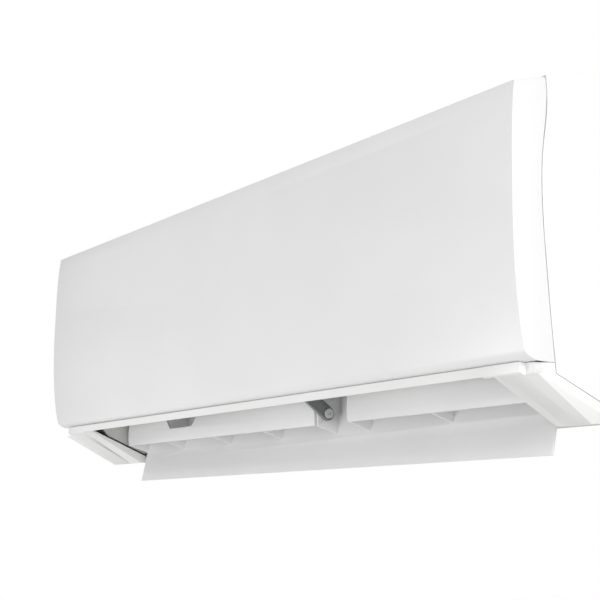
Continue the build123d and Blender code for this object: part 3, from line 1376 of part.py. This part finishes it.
cord_clamp_size = (34.0, 16.0, 10.0)
with BuildPart() as cord_clamp:
    with BuildSketch(Plane.XY.offset(box_low_z - part_gap)):
        with Locations((cord_x, cord_y)):
            Rectangle(cord_clamp_size[0], cord_clamp_size[1])
            Circle(cord_radius, mode=Mode.SUBTRACT)
    extrude(amount=-cord_clamp_size[2])
finish(cord_clamp.part, "cord_clamp")

# ================================================================ display board, sensor, fixings
display_size = (60.0, 20.0)
display_x = 270.0
display_z = pan_floor_z + 8.0
eye_radius = 3.0
eye_height = 2.5
with BuildPart() as display_board:
    with BuildSketch(Plane.XZ.offset(part_gap - pan_front_y)):
        with Locations((display_x, display_z)):
            Rectangle(*display_size)
    extrude(amount=board_thickness)
    # receiver eye and two indicator lamps
    with BuildSketch(Plane.XZ.offset(part_gap + board_thickness - pan_front_y)):
        with Locations((display_x - 18.0, display_z)):
            Circle(eye_radius)
        with Locations((display_x + 4.0, display_z), (display_x + 16.0, display_z)):
            Circle(eye_radius / 2)
    extrude(amount=eye_height)
finish(display_board.part, "display_board")

sensor_x = 250.0
sensor_z = bottom_z + 160.0
sensor_holder = (12.0, 24.0, 2.0)
sensor_radius = 2.2
fins_front_y = slabs["fins_front_lower"][0][0] - slab_thickness / 2
with BuildPart() as room_sensor:
    with BuildSketch(Plane.XZ.offset(part_gap - fins_front_y)):
        with Locations((sensor_x, sensor_z)):
            Rectangle(sensor_holder[0], sensor_holder[1])
    extrude(amount=sensor_holder[2])
    with BuildSketch(Plane.XY.offset(sensor_z - sensor_holder[1] / 3)):
        with Locations((sensor_x, fins_front_y - part_gap - sensor_holder[2] - sensor_radius / 2)):
            Circle(sensor_radius)
    extrude(amount=2 * sensor_holder[1] / 3)
finish(room_sensor.part, "room_sensor")

cap_thickness = 1.2
head_height = 1.9
head_radius = counterbore_radius - part_gap
with BuildPart() as casing_screws:
    for side in (-1, 1):
        with BuildSketch(Plane.XY.offset(bottom_z + counterbore_depth)):
            with Locations((side * screw_x, screw_y)):
                Circle(head_radius)
        extrude(amount=-head_height)
        with BuildSketch(Plane.XY.offset(bottom_z + counterbore_depth)):
            with Locations((side * screw_x, screw_y)):
                Circle(screw_radius)
        extrude(amount=boss_high_z - bottom_z - counterbore_depth)
        with BuildSketch(Plane.XY.offset(bottom_z + counterbore_depth - head_height)):
            with Locations((side * screw_x, screw_y)):
                Rectangle(2.4 * screw_radius, 0.5 * screw_radius)
                Rectangle(0.5 * screw_radius, 2.4 * screw_radius)
        extrude(amount=head_height / 2, mode=Mode.SUBTRACT)
finish(casing_screws.part, "casing_screws")

with BuildPart() as screw_caps:
    with BuildSketch(Plane.XY.offset(bottom_z)):
        with Locations((-screw_x, screw_y), (screw_x, screw_y)):
            Circle(counterbore_radius - 2 * running_gap)
    extrude(amount=cap_thickness)
finish(screw_caps.part, "screw_caps")
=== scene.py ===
# %% [markdown]
# This lesson dresses a wall-hung indoor unit of a split air conditioner in Blender. The engineering
# model is loaded first, with every casing, shaft and vane at its real size. It could be rebuilt by
# eye, but then nothing would fit, so the model stays as it is and the lesson adds what it lacks:
# rounded moulding edges, fin packs, filter nets, surface finishes, a studio and a camera.

# %% Load the engineering model
import json
import math

import bpy
from mathutils import Matrix, Vector


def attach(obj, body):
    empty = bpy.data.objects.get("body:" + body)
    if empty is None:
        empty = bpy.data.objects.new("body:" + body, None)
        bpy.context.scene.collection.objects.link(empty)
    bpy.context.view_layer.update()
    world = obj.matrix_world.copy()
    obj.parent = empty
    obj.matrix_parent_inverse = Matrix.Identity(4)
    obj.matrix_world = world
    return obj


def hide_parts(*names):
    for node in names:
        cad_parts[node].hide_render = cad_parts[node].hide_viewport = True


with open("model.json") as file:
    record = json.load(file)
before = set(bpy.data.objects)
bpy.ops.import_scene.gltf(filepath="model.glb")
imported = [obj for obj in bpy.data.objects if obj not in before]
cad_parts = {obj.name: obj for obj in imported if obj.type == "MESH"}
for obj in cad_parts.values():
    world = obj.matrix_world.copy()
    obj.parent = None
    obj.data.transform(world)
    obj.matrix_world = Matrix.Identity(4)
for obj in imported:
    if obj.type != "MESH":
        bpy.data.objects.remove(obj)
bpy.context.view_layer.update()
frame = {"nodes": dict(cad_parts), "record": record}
nodes = frame["nodes"]

# %% [markdown]
# The camera comes next, because every later choice is judged through it. It could be placed by
# dragging until it looks right. Here its place was solved from the straight edges of the casing,
# so it is written as a position and three directions: right, up and forward.

# %% Camera
MM = 0.001
camera_data = bpy.data.cameras.new("studio_camera")
camera_data.sensor_width = 36.0
camera_data.lens = 78.0
camera_data.clip_end = 50.0
camera = bpy.data.objects.new("studio_camera", camera_data)
bpy.context.scene.collection.objects.link(camera)
camera_right = Vector((0.56659, 0.82061, -0.07464))
camera_up = Vector((0.1416, -0.00772, 0.98989))
camera_forward = Vector((-0.81174, 0.57144, 0.12057))
camera_turn = Matrix((camera_right, camera_up, -camera_forward)).transposed()
camera.matrix_world = Matrix.Translation(Vector((1051.8, -855.1, -131.0)) * MM) @ camera_turn.to_4x4()
bpy.context.scene.camera = camera
print("camera at", [round(v, 3) for v in camera.matrix_world.translation])

# %% [markdown]
# Two small helpers serve every finish. Colours are written as sRGB hex, as a designer reads them
# from a swatch, and one function turns them to the linear values that shaders need. The other adds
# a shader node with its settings and links in one line, so a finish reads like a recipe.

# %% Colour and node helpers
def linear(hex_code):
    """sRGB hex colour to the linear colour that a shader socket takes."""
    parts = [int(hex_code[i:i + 2], 16) / 255 for i in (1, 3, 5)]
    return (*[p / 12.92 if p <= 0.04045 else ((p + 0.055) / 1.055) ** 2.4 for p in parts], 1.0)


def add_node(tree, kind, settings=None, **sockets):
    """Adds a shader node; a socket takes a value, or a link as (node, output name)."""
    node = tree.nodes.new("ShaderNode" + kind)
    for name, value in (settings or {}).items():
        setattr(node, name, value)
    for name, value in sockets.items():
        label = name.replace("_", " ")
        socket = node.inputs[label] if label in node.inputs else node.inputs[int(name[1:])]
        if isinstance(value, tuple) and isinstance(value[0], bpy.types.Node):
            tree.links.new(value[0].outputs[value[1]], socket)
        else:
            socket.default_value = value
    return node


print("white in linear light:", [round(v, 3) for v in linear("#F4F4F2")])

# %% [markdown]
# Studio: the unit hangs on a wall, so the floor lies 2.2 m below it, with white all round. The
# surround could be lit until it burns out, but that would wash out the white unit too. Instead the
# camera and mirror-like reflections see plain white, while the light that falls on the unit is set
# apart. The floor is lifted to white for the camera in the same way and still darkens in a shadow.

# %% Studio surround and floor
WORLD_LIGHT = 0.44
FLOOR_LIFT = 0.60
FLOOR_SIZE = 24.0
FLOOR_HEIGHT = -2.2


def seen_directly(tree):
    """1 for the rays of the camera, of reflections and through clear things, 0 for the light's own."""
    path = add_node(tree, "LightPath")
    seen = add_node(tree, "Math", {"operation": "MAXIMUM"}, i0=(path, "Is Camera Ray"),
                    i1=(path, "Is Glossy Ray"))
    return add_node(tree, "Math", {"operation": "MAXIMUM"}, i0=(seen, "Value"),
                    i1=(path, "Is Transmission Ray"))


world = bpy.data.worlds.new("studio_white")
bpy.context.scene.world = world
world.use_nodes = True
tree = world.node_tree
tree.nodes.clear()
seen = seen_directly(tree)
light = add_node(tree, "Background", Color=linear("#FFFFFF"), Strength=WORLD_LIGHT)
white = add_node(tree, "Background", Color=linear("#FFFFFF"), Strength=1.0)
mix = add_node(tree, "MixShader", i0=(seen, "Value"), i1=(light, "Background"), i2=(white, "Background"))
add_node(tree, "OutputWorld", Surface=(mix, "Shader"))

bpy.ops.mesh.primitive_plane_add(size=FLOOR_SIZE, location=(0, 0, FLOOR_HEIGHT))
floor = bpy.context.object
floor.name = "studio_floor"
floor_finish = bpy.data.materials.new("painted_floor_pale")
floor_finish.use_nodes = True
tree = floor_finish.node_tree
tree.nodes.clear()
seen = seen_directly(tree)
lift = add_node(tree, "Math", {"operation": "MULTIPLY"}, i0=(seen, "Value"), i1=FLOOR_LIFT)
paint = add_node(tree, "BsdfDiffuse", Color=linear("#F2F2F2"))
glow = add_node(tree, "Emission", Color=linear("#FFFFFF"), Strength=(lift, "Value"))
both = add_node(tree, "AddShader", i0=(paint, "BSDF"), i1=(glow, "Emission"))
add_node(tree, "OutputMaterial", Surface=(both, "Shader"))
floor.data.materials.append(floor_finish)
print("floor at", floor.location.z, "m")

# %% [markdown]
# Lamps: the real unit was lit by one large soft box on its right side, which makes the end of the
# casing its brightest part, and by a weaker one low in front, which throws the faint
# shadows to the right of the louver's ribs. Two area lamps make the same light; spot lamps would
# give it hard edges. A third, weaker one stands behind, so that the wall plate reads from the back.

# %% Lamps
def soft_box(name, place, target, size, power):
    """A square area lamp at a place, aimed at a target, both in metres."""
    data = bpy.data.lights.new(name, "AREA")
    data.size = size
    data.energy = power
    lamp = bpy.data.objects.new(name, data)
    bpy.context.scene.collection.objects.link(lamp)
    lamp.location = place
    lamp.rotation_mode = "QUATERNION"
    lamp.rotation_quaternion = (Vector(target) - Vector(place)).to_track_quat("-Z", "Y")
    return lamp


soft_box("side_soft_box", (2.4, -0.3, 0.15), (0.3, -0.1, 0.0), 1.6, 38.0)
soft_box("front_low_soft_box", (-0.2, -2.1, -0.6), (0.0, -0.2, 0.0), 1.2, 20.0)
soft_box("back_soft_box", (-1.4, 2.2, 0.6), (0.0, 0.0, 0.0), 1.4, 12.0)
bpy.context.scene.view_settings.view_transform = "Standard"

# %% [markdown]
# Most of the unit is moulded plastic. A polished mould gives a panel a gloss with long, shallow
# waves; a spark-eroded mould gives a casing a fine even grain that spreads the light. Both could be
# photographs of real mouldings, but noise at the real grain size does the same at any scale. One
# function makes them all, because they differ only in colour, gloss and grain.

# %% Moulded plastics
DRIFT_MM = 90.0           # the slow drift between a plastic's two colours
FINEST_GRAIN_MM = 0.8     # finer grain wouldn't show at this distance
GLOSS_SPREAD = 0.04
PLASTIC_IOR = 1.53


def moulded(name, colour, shade, roughness, grain_mm, depth_mm):
    """A moulded plastic: two near colours in drifts, and a grain of a real size and depth."""
    finish = bpy.data.materials.new(name)
    finish.use_nodes = True
    tree = finish.node_tree
    shader = tree.nodes["Principled BSDF"]
    place = add_node(tree, "TexCoord")
    drift = add_node(tree, "TexNoise", Vector=(place, "Object"), Scale=1 / (DRIFT_MM * MM), Detail=2.0)
    tint = add_node(tree, "ValToRGB", Fac=(drift, "Fac"))
    tint.color_ramp.elements[0].position = 0.35
    tint.color_ramp.elements[0].color = linear(shade)
    tint.color_ramp.elements[1].position = 0.65
    tint.color_ramp.elements[1].color = linear(colour)
    tree.links.new(tint.outputs["Color"], shader.inputs["Base Color"])
    grain = add_node(tree, "TexNoise", Vector=(place, "Object"),
                     Scale=1 / (max(grain_mm, FINEST_GRAIN_MM) * MM), Detail=3.0, Roughness=0.6)
    gloss = add_node(tree, "MapRange", Value=(grain, "Fac"), From_Min=0.3, From_Max=0.7,
                     To_Min=roughness - GLOSS_SPREAD, To_Max=roughness + GLOSS_SPREAD)
    tree.links.new(gloss.outputs["Result"], shader.inputs["Roughness"])
    relief = add_node(tree, "Bump", Height=(grain, "Fac"), Distance=depth_mm * MM, Strength=0.6)
    tree.links.new(relief.outputs["Normal"], shader.inputs["Normal"])
    shader.inputs["IOR"].default_value = PLASTIC_IOR
    return finish


finishes = {
    # ABS from a polished mould: an even white gloss with long shallow waves
    "panel_gloss": moulded("abs_polished_white", "#E9E9E9", "#E7E7E7", 0.38, 14.0, 0.01),
    # ABS from a spark-eroded mould: a soft white satin
    "casing_white": moulded("abs_satin_white", "#ECECEB", "#E9E9E8", 0.36, 0.5, 0.02),
    # ABS, as the casing, a touch greyer
    "louver_white": moulded("abs_satin_louver_white", "#E4E4E4", "#E1E1E1", 0.38, 0.6, 0.02),
    # high-impact polystyrene, unpolished mould: a dull off-white, with faint flow clouds
    "inner_plastic": moulded("hips_dull_offwhite", "#CFCFCC", "#C8C8C4", 0.52, 1.2, 0.04),
    # polypropylene: waxy light grey
    "vane_plastic": moulded("polypropylene_light_grey", "#C6C7C8", "#BFC0C1", 0.45, 1.0, 0.03),
    # glass-filled nylon: mid grey, slightly mottled
    "dark_plastic": moulded("nylon_mid_grey", "#808183", "#797A7C", 0.5, 0.9, 0.03),
    # styrene-acrylonitrile with glass fibre: black, with a low sheen
    "fan_plastic": moulded("san_glass_filled_black", "#1F2021", "#191A1B", 0.42, 1.0, 0.04),
    # EPDM rubber: near black with a pale bloom
    "rubber": moulded("epdm_black", "#232323", "#2B2B2A", 0.78, 1.6, 0.06),
    # phenolic and epoxy housings: near black, matt
    "component_dark": moulded("epoxy_housing_black", "#262728", "#303132", 0.55, 0.9, 0.03),
}
# acetal: the pin's clean pale grey
finishes["pin_acetal"] = moulded("acetal_pale_grey", "#D9DADB", "#D2D3D4", 0.35, 0.8, 0.02)
print("plastics:", len(finishes))

# %% [markdown]
# Metals next. Each is bare or thinly plated, so its colour lives in its reflection and the metallic
# value is full. Drawn copper tarnishes in clouds; zinc on steel freezes into flakes, or spangle;
# turned brass and steel carry fine rings or streaks from the tool. Coated fin foil is softer: its
# water-spreading film leaves a faint blue.

# %% Metals
TARNISH_MM = 35.0         # the size of a tarnish cloud


def metal(name, colour, tarnish, roughness, pattern, size_mm, depth_mm, stretch=(1, 1, 1)):
    """A metal with tarnish clouds and a surface pattern: a texture kind and its real size.

    stretch makes streaks: a small number lengthens the pattern along that axis.
    """
    finish = bpy.data.materials.new(name)
    finish.use_nodes = True
    tree = finish.node_tree
    shader = tree.nodes["Principled BSDF"]
    shader.inputs["Metallic"].default_value = 1.0
    place = add_node(tree, "TexCoord")
    stretched = add_node(tree, "Mapping", Vector=(place, "Object"), Scale=stretch)
    clouds = add_node(tree, "TexNoise", Vector=(place, "Object"), Scale=1 / (TARNISH_MM * MM), Detail=4.0)
    surface = add_node(tree, "Tex" + pattern, Vector=(stretched, "Vector"), Scale=1 / (size_mm * MM))
    out = "Fac" if pattern == "Noise" else "Distance"
    blend = add_node(tree, "Math", {"operation": "MULTIPLY_ADD", "use_clamp": True},
                     i0=(surface, out), i1=0.4, i2=(clouds, "Fac"))
    tint = add_node(tree, "ValToRGB", Fac=(blend, "Value"))
    tint.color_ramp.elements[0].position = 0.35
    tint.color_ramp.elements[0].color = linear(tarnish)
    tint.color_ramp.elements[1].position = 0.85
    tint.color_ramp.elements[1].color = linear(colour)
    tree.links.new(tint.outputs["Color"], shader.inputs["Base Color"])
    gloss = add_node(tree, "MapRange", Value=(blend, "Value"), From_Min=0.3, From_Max=0.9,
                     To_Min=roughness + 0.10, To_Max=roughness - 0.05)
    tree.links.new(gloss.outputs["Result"], shader.inputs["Roughness"])
    relief = add_node(tree, "Bump", Height=(surface, out), Distance=depth_mm * MM, Strength=0.5)
    tree.links.new(relief.outputs["Normal"], shader.inputs["Normal"])
    return finish


# aluminium foil with a hydrophilic film: pale, faintly blue
finishes["fin_aluminium"] = metal("aluminium_fin_coated", "#BFCBD4", "#A9B7C2", 0.42, "Noise", 1.5, 0.02)
# drawn copper tube: pink-brown, long draw marks along the tubes, tarnish clouds
finishes["copper"] = metal("copper_drawn", "#D08A66", "#9A5B3E", 0.30, "Noise", 0.9, 0.02, (0.08, 1, 1))
# turned brass: yellow, with rings round the axis that runs along X
finishes["brass"] = metal("brass_turned", "#C9A25A", "#A9833F", 0.28, "Noise", 0.9, 0.02, (1, 0.1, 0.1))
# hot-dip zinc on steel: flakes about 9 mm across
finishes["zinc_steel"] = metal("steel_galvanised", "#B4B8BB", "#979CA0", 0.38, "Voronoi", 9.0, 0.02)
# cut and nickel-plated steel: even grey with fine tool streaks
finishes["steel"] = metal("steel_nickel_plated", "#B2B2B0", "#96968F", 0.30, "Noise", 0.9, 0.01, (1, 0.1, 1))
print("finishes:", len(finishes))

# %% [markdown]
# The circuit board is glass-epoxy laminate under a green lacquer. Its copper tracks lie under the
# lacquer and show as slightly paler, raised lines. They could be drawn one by one, but a square
# Voronoi pattern, thresholded at its cell borders, gives lines that run and turn as tracks do.

# %% Circuit board
TRACK_PITCH_MM = 5.0
WEAVE_MM = 1.2
TRACK_HEIGHT_MM = 0.04
board = bpy.data.materials.new("glass_epoxy_green_lacquer")
board.use_nodes = True
tree = board.node_tree
shader = tree.nodes["Principled BSDF"]
place = add_node(tree, "TexCoord")
# tracks 0.3 mm wide would not show, so they are drawn about 0.8 mm wide on a 5 mm layout
tracks = add_node(tree, "TexVoronoi", {"feature": "DISTANCE_TO_EDGE"}, Vector=(place, "Object"),
                  Scale=1 / (TRACK_PITCH_MM * MM), Randomness=0.7)
edge = add_node(tree, "ValToRGB", Fac=(tracks, "Distance"))
edge.color_ramp.interpolation = "EASE"
edge.color_ramp.elements[0].position = 0.06
edge.color_ramp.elements[0].color = linear("#3C8A55")
edge.color_ramp.elements[1].position = 0.10
edge.color_ramp.elements[1].color = linear("#1D5E37")
tree.links.new(edge.outputs["Color"], shader.inputs["Base Color"])
weave = add_node(tree, "TexNoise", Vector=(place, "Object"), Scale=1 / (WEAVE_MM * MM), Detail=2.0)
gloss = add_node(tree, "MapRange", Value=(weave, "Fac"), From_Min=0.3, From_Max=0.7,
                 To_Min=0.24, To_Max=0.36)
tree.links.new(gloss.outputs["Result"], shader.inputs["Roughness"])
relief = add_node(tree, "Bump", {"invert": True}, Height=(tracks, "Distance"), Distance=TRACK_HEIGHT_MM * MM,
                  Strength=0.4)
tree.links.new(relief.outputs["Normal"], shader.inputs["Normal"])
finishes["board_green"] = board

slots = {part["node"]: part["material_slot"] for part in frame["record"]["subparts"]}
for name, piece in nodes.items():
    finish = finishes["pin_acetal" if name == "louver_centre_pin" else slots[name]]
    piece.data.materials.clear()
    piece.data.materials.append(finish)
print("finished nodes:", len(nodes))

# %% [markdown]
# Real mouldings have no knife edges: a mould's corners are rounded, and the light that catches
# them draws the joint lines. The engineering model's edges are sharp, so each outer moulding is
# copied, its loose triangles are merged and joined to flat faces again, and a bevel rounds every
# edge by a real radius. Shading the result smooth keeps the panel's long curve even.

# %% Rounded mouldings
MERGE_MM = 0.002
FLAT_DEGREES = 0.4        # triangles within this angle are one flat face again
EDGE_DEGREES = 35         # edges sharper than this are rounded
SMOOTH_DEGREES = 38
body_of = {name: body for body, names in frame["record"]["behaviour"]["bodies"].items() for name in names}


def pick_only(piece):
    """Makes one object the only selected and active one."""
    bpy.ops.object.select_all(action="DESELECT")
    piece.select_set(True)
    bpy.context.view_layer.objects.active = piece


def hand_in(piece, node, finish=None):
    """Gives a finished piece its surface and its body, and hides the node that it stands for."""
    piece.data.materials.clear()
    piece.data.materials.append(finish or finishes[slots[node]])
    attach(piece, body_of[node])
    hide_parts(node)


def rounded_moulding(node, radius_mm, segments=2):
    """A copy of a node with every sharp edge rounded."""
    piece = nodes[node].copy()
    piece.data = nodes[node].data.copy()
    piece.name = node + "_moulding"
    piece.parent = None
    bpy.context.scene.collection.objects.link(piece)
    pick_only(piece)
    bpy.ops.object.mode_set(mode="EDIT")
    bpy.ops.mesh.select_all(action="SELECT")
    bpy.ops.mesh.remove_doubles(threshold=MERGE_MM * MM)
    bpy.ops.mesh.dissolve_limited(angle_limit=math.radians(FLAT_DEGREES))
    bpy.ops.mesh.select_all(action="DESELECT")
    bpy.ops.object.mode_set(mode="OBJECT")
    edge = piece.modifiers.new("mould_radius", "BEVEL")
    edge.width = radius_mm * MM
    edge.segments = segments
    edge.limit_method = "ANGLE"
    edge.angle_limit = math.radians(EDGE_DEGREES)
    edge.use_clamp_overlap = True
    bpy.ops.object.modifier_apply(modifier="mould_radius")
    bpy.ops.object.shade_smooth_by_angle(angle=math.radians(SMOOTH_DEGREES))
    hand_in(piece, node)
    return piece


for node, radius in (("front_panel", 0.25), ("casing_frame", 0.25), ("outlet_surround", 0.25),
                     ("louver_front_blade", 0.4), ("louver_main_blade", 0.25), ("louver_centre_arm", 0.3)):
    piece = rounded_moulding(node, radius)
    print(node, "faces:", len(piece.data.polygons))

# %% [markdown]
# The coil's fin packs: hundreds of thin aluminium sheets on the copper tubes. Solid blocks would
# look like slabs of metal once the panel is open. One fin is modelled and an array repeats it.
# Each sheet has folds across the air stream, which stiffen it and stir the air.

# %% Fin packs
FIN_LEFT, FIN_RIGHT = -330.0, 285.0
SLAB = 24.0
FIN_PITCH = 2.4        # real sheets are 1.4 mm apart, too fine to show, so they are drawn at 2.4 mm
FIN_SHEET = 0.35
FIN_FOLDS = 8
FIN_FOLD_HEIGHT = 0.7
FIN_END_ROOM = 2.0
slabs = {"fins_front_lower": ((-171.0, 18.0), 80.0, 0.0),
         "fins_front_upper": ((-143.5, 98.0), 74.0, -42.0),
         "fins_rear": ((-64.0, 97.0), 74.0, 42.0)}


def fin_pack(node, centre, length, tilt):
    """Folded sheets, side by side along X, in a slab's section that is tilted about X."""
    bpy.ops.mesh.primitive_grid_add(x_subdivisions=FIN_FOLDS, y_subdivisions=1, size=1.0)
    piece = bpy.context.object
    piece.name = node + "_sheets"
    piece.scale = (SLAB * MM, length * MM, 1.0)
    bpy.ops.object.transform_apply(location=True, rotation=True, scale=True)
    # every second line of vertices is lifted into a fold
    step = SLAB * MM / FIN_FOLDS
    for vertex in piece.data.vertices:
        vertex.select = round((vertex.co.x + SLAB * MM / 2) / step) % 2 == 1
    bpy.ops.object.mode_set(mode="EDIT")
    bpy.ops.mesh.select_mode(type="VERT")
    bpy.ops.transform.translate(value=(0, 0, FIN_FOLD_HEIGHT * MM))
    bpy.ops.mesh.select_all(action="SELECT")
    bpy.ops.mesh.extrude_region_move(TRANSFORM_OT_translate={"value": (0, 0, FIN_SHEET * MM)})
    bpy.ops.mesh.select_all(action="SELECT")
    bpy.ops.mesh.normals_make_consistent(inside=False)
    bpy.ops.object.mode_set(mode="OBJECT")
    # the sheet's x turns to the slab's depth, its y to the slab's length, its z to world X
    lean = math.radians(tilt)
    piece.matrix_world = Matrix(((0, 0, 1, FIN_LEFT * MM),
                                 (math.cos(lean), -math.sin(lean), 0, centre[0] * MM),
                                 (math.sin(lean), math.cos(lean), 0, centre[1] * MM),
                                 (0, 0, 0, 1)))
    pick_only(piece)
    bpy.ops.object.transform_apply(location=True, rotation=True, scale=True)
    row = piece.modifiers.new("sheets_in_a_row", "ARRAY")
    row.use_relative_offset = False
    row.use_constant_offset = True
    row.constant_offset_displace = (FIN_PITCH * MM, 0, 0)
    row.count = int((FIN_RIGHT - FIN_LEFT - FIN_END_ROOM) / FIN_PITCH)
    bpy.ops.object.modifier_apply(modifier="sheets_in_a_row")
    hand_in(piece, node)
    return len(piece.data.polygons)


for node, (centre, length, tilt) in slabs.items():
    print(node, "faces:", fin_pack(node, centre, length, tilt))

# %% [markdown]
# The two air filters lie in the top of the casing: a ribbed frame that carries a fine net and a
# finger tab to lift it by. The net could be a picture with holes, but real strands catch the light
# from every side, so a grid is given thickness by the wireframe modifier. The frame starts from a
# grid too: each cell is inset and opened, and the sheet is thickened.

# %% Filters
FILTER_LENGTH, FILTER_WIDTH = 379.2, 75.9
FILTER_Y = -52.25
FILTER_FLOOR, FILTER_THICKNESS = 141.1, 4.7
FILTER_RIM, FILTER_BAR = 5.0, 2.0
NET_STEP = 3.0          # real strands are 1 mm apart, drawn at 3 mm so that they show
NET_STRAND = 0.5
NET_LIFT = 0.6            # the net lies this far above the frame's underside
FILTER_GAP = 1.0          # from the middle of the unit to a filter's end
TAB_LENGTH, TAB_WIDTH, TAB_HEIGHT = 40.0, 7.0, 2.6
TAB_TOP = 147.8


def filter_frame(name, middle_x):
    """The ribbed frame: six by two openings inside a wider rim."""
    bpy.ops.mesh.primitive_grid_add(x_subdivisions=6, y_subdivisions=2, size=1.0)
    piece = bpy.context.object
    piece.name = name
    inner = (FILTER_LENGTH - 2 * FILTER_RIM + FILTER_BAR, FILTER_WIDTH - 2 * FILTER_RIM + FILTER_BAR)
    piece.scale = (inner[0] * MM, inner[1] * MM, 1.0)
    bpy.ops.object.transform_apply(location=True, rotation=True, scale=True)
    bpy.ops.object.mode_set(mode="EDIT")
    bpy.ops.mesh.select_mode(type="FACE")
    bpy.ops.mesh.select_all(action="SELECT")
    bpy.ops.mesh.inset(thickness=FILTER_BAR / 2 * MM, depth=0, use_individual=True)
    bpy.ops.mesh.delete(type="FACE")
    bpy.ops.mesh.select_mode(type="VERT")
    # the rim's outer edges move out, one side at a time
    for axis in (0, 1):
        for sense in (-1, 1):
            bpy.ops.mesh.select_all(action="DESELECT")
            bpy.ops.object.mode_set(mode="OBJECT")
            for vertex in piece.data.vertices:
                vertex.select = sense * vertex.co[axis] > (inner[axis] / 2 - 0.2) * MM
            bpy.ops.object.mode_set(mode="EDIT")
            shift = [0.0, 0.0, 0.0]
            shift[axis] = sense * (FILTER_RIM - FILTER_BAR) * MM * 0.999
            bpy.ops.transform.translate(value=shift)
    bpy.ops.mesh.select_all(action="SELECT")
    bpy.ops.mesh.extrude_region_move(TRANSFORM_OT_translate={"value": (0, 0, FILTER_THICKNESS * MM)})
    bpy.ops.mesh.select_all(action="SELECT")
    bpy.ops.mesh.normals_make_consistent(inside=False)
    bpy.ops.object.mode_set(mode="OBJECT")
    edge = piece.modifiers.new("rib_radius", "BEVEL")
    edge.width = 0.35 * MM
    edge.segments = 2
    bpy.ops.object.modifier_apply(modifier="rib_radius")
    piece.location = (middle_x * MM, FILTER_Y * MM, FILTER_FLOOR * MM)
    bpy.ops.object.transform_apply(location=True, rotation=True, scale=True)
    return piece


def filter_net(name, middle_x):
    """The net: a grid whose every line becomes a square strand."""
    bpy.ops.mesh.primitive_grid_add(x_subdivisions=int((FILTER_LENGTH - FILTER_RIM) / NET_STEP),
                                    y_subdivisions=int((FILTER_WIDTH - FILTER_RIM) / NET_STEP), size=1.0)
    piece = bpy.context.object
    piece.name = name
    piece.scale = ((FILTER_LENGTH - FILTER_RIM) * MM, (FILTER_WIDTH - FILTER_RIM) * MM, 1.0)
    piece.location = (middle_x * MM, FILTER_Y * MM, (FILTER_FLOOR + NET_LIFT) * MM)
    bpy.ops.object.transform_apply(location=True, rotation=True, scale=True)
    strands = piece.modifiers.new("strands", "WIREFRAME")
    strands.thickness = NET_STRAND * MM
    bpy.ops.object.modifier_apply(modifier="strands")
    return piece


def finger_tab(name, middle_x):
    """The tab on the front rim: a block whose outer top edge is drawn in, with soft edges."""
    bpy.ops.mesh.primitive_cube_add(size=1.0)
    piece = bpy.context.object
    piece.name = name
    piece.scale = (TAB_LENGTH * MM, TAB_WIDTH * MM, TAB_HEIGHT * MM)
    bpy.ops.object.transform_apply(location=True, rotation=True, scale=True)
    for polygon in piece.data.polygons:
        polygon.select = polygon.normal.z > 0.9
    bpy.ops.object.mode_set(mode="EDIT")
    bpy.ops.mesh.select_mode(type="FACE")
    bpy.ops.mesh.inset(thickness=1.5 * MM, depth=0)
    bpy.ops.mesh.extrude_region_move(TRANSFORM_OT_translate={"value": (0, 0, -0.9 * MM)})
    bpy.ops.object.mode_set(mode="OBJECT")
    edge = piece.modifiers.new("tab_radius", "BEVEL")
    edge.width = 0.4 * MM
    edge.segments = 2
    bpy.ops.object.modifier_apply(modifier="tab_radius")
    piece.location = (middle_x * MM, (FILTER_Y - FILTER_WIDTH / 2 + TAB_WIDTH / 2) * MM,
                      (TAB_TOP - TAB_HEIGHT / 2) * MM)
    bpy.ops.object.transform_apply(location=True, rotation=True, scale=True)
    return piece


net_finish = moulded("polypropylene_net_grey", "#8E9294", "#858A8C", 0.5, 1.0, 0.02)
for side, node in ((-1, "filter_left"), (1, "filter_right")):
    middle = side * (FILTER_LENGTH / 2 + FILTER_GAP)
    frame_piece = filter_frame(node + "_frame", middle)
    tab = finger_tab(node + "_tab", middle)
    net = filter_net(node + "_net", middle)
    pick_only(frame_piece)
    tab.select_set(True)
    bpy.ops.object.join()
    bpy.ops.object.shade_smooth_by_angle(angle=math.radians(35))
    hand_in(frame_piece, node)
    net.data.materials.append(net_finish)
    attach(net, body_of[node])
    print(node, "frame faces:", len(frame_piece.data.polygons), "net faces:", len(net.data.polygons))
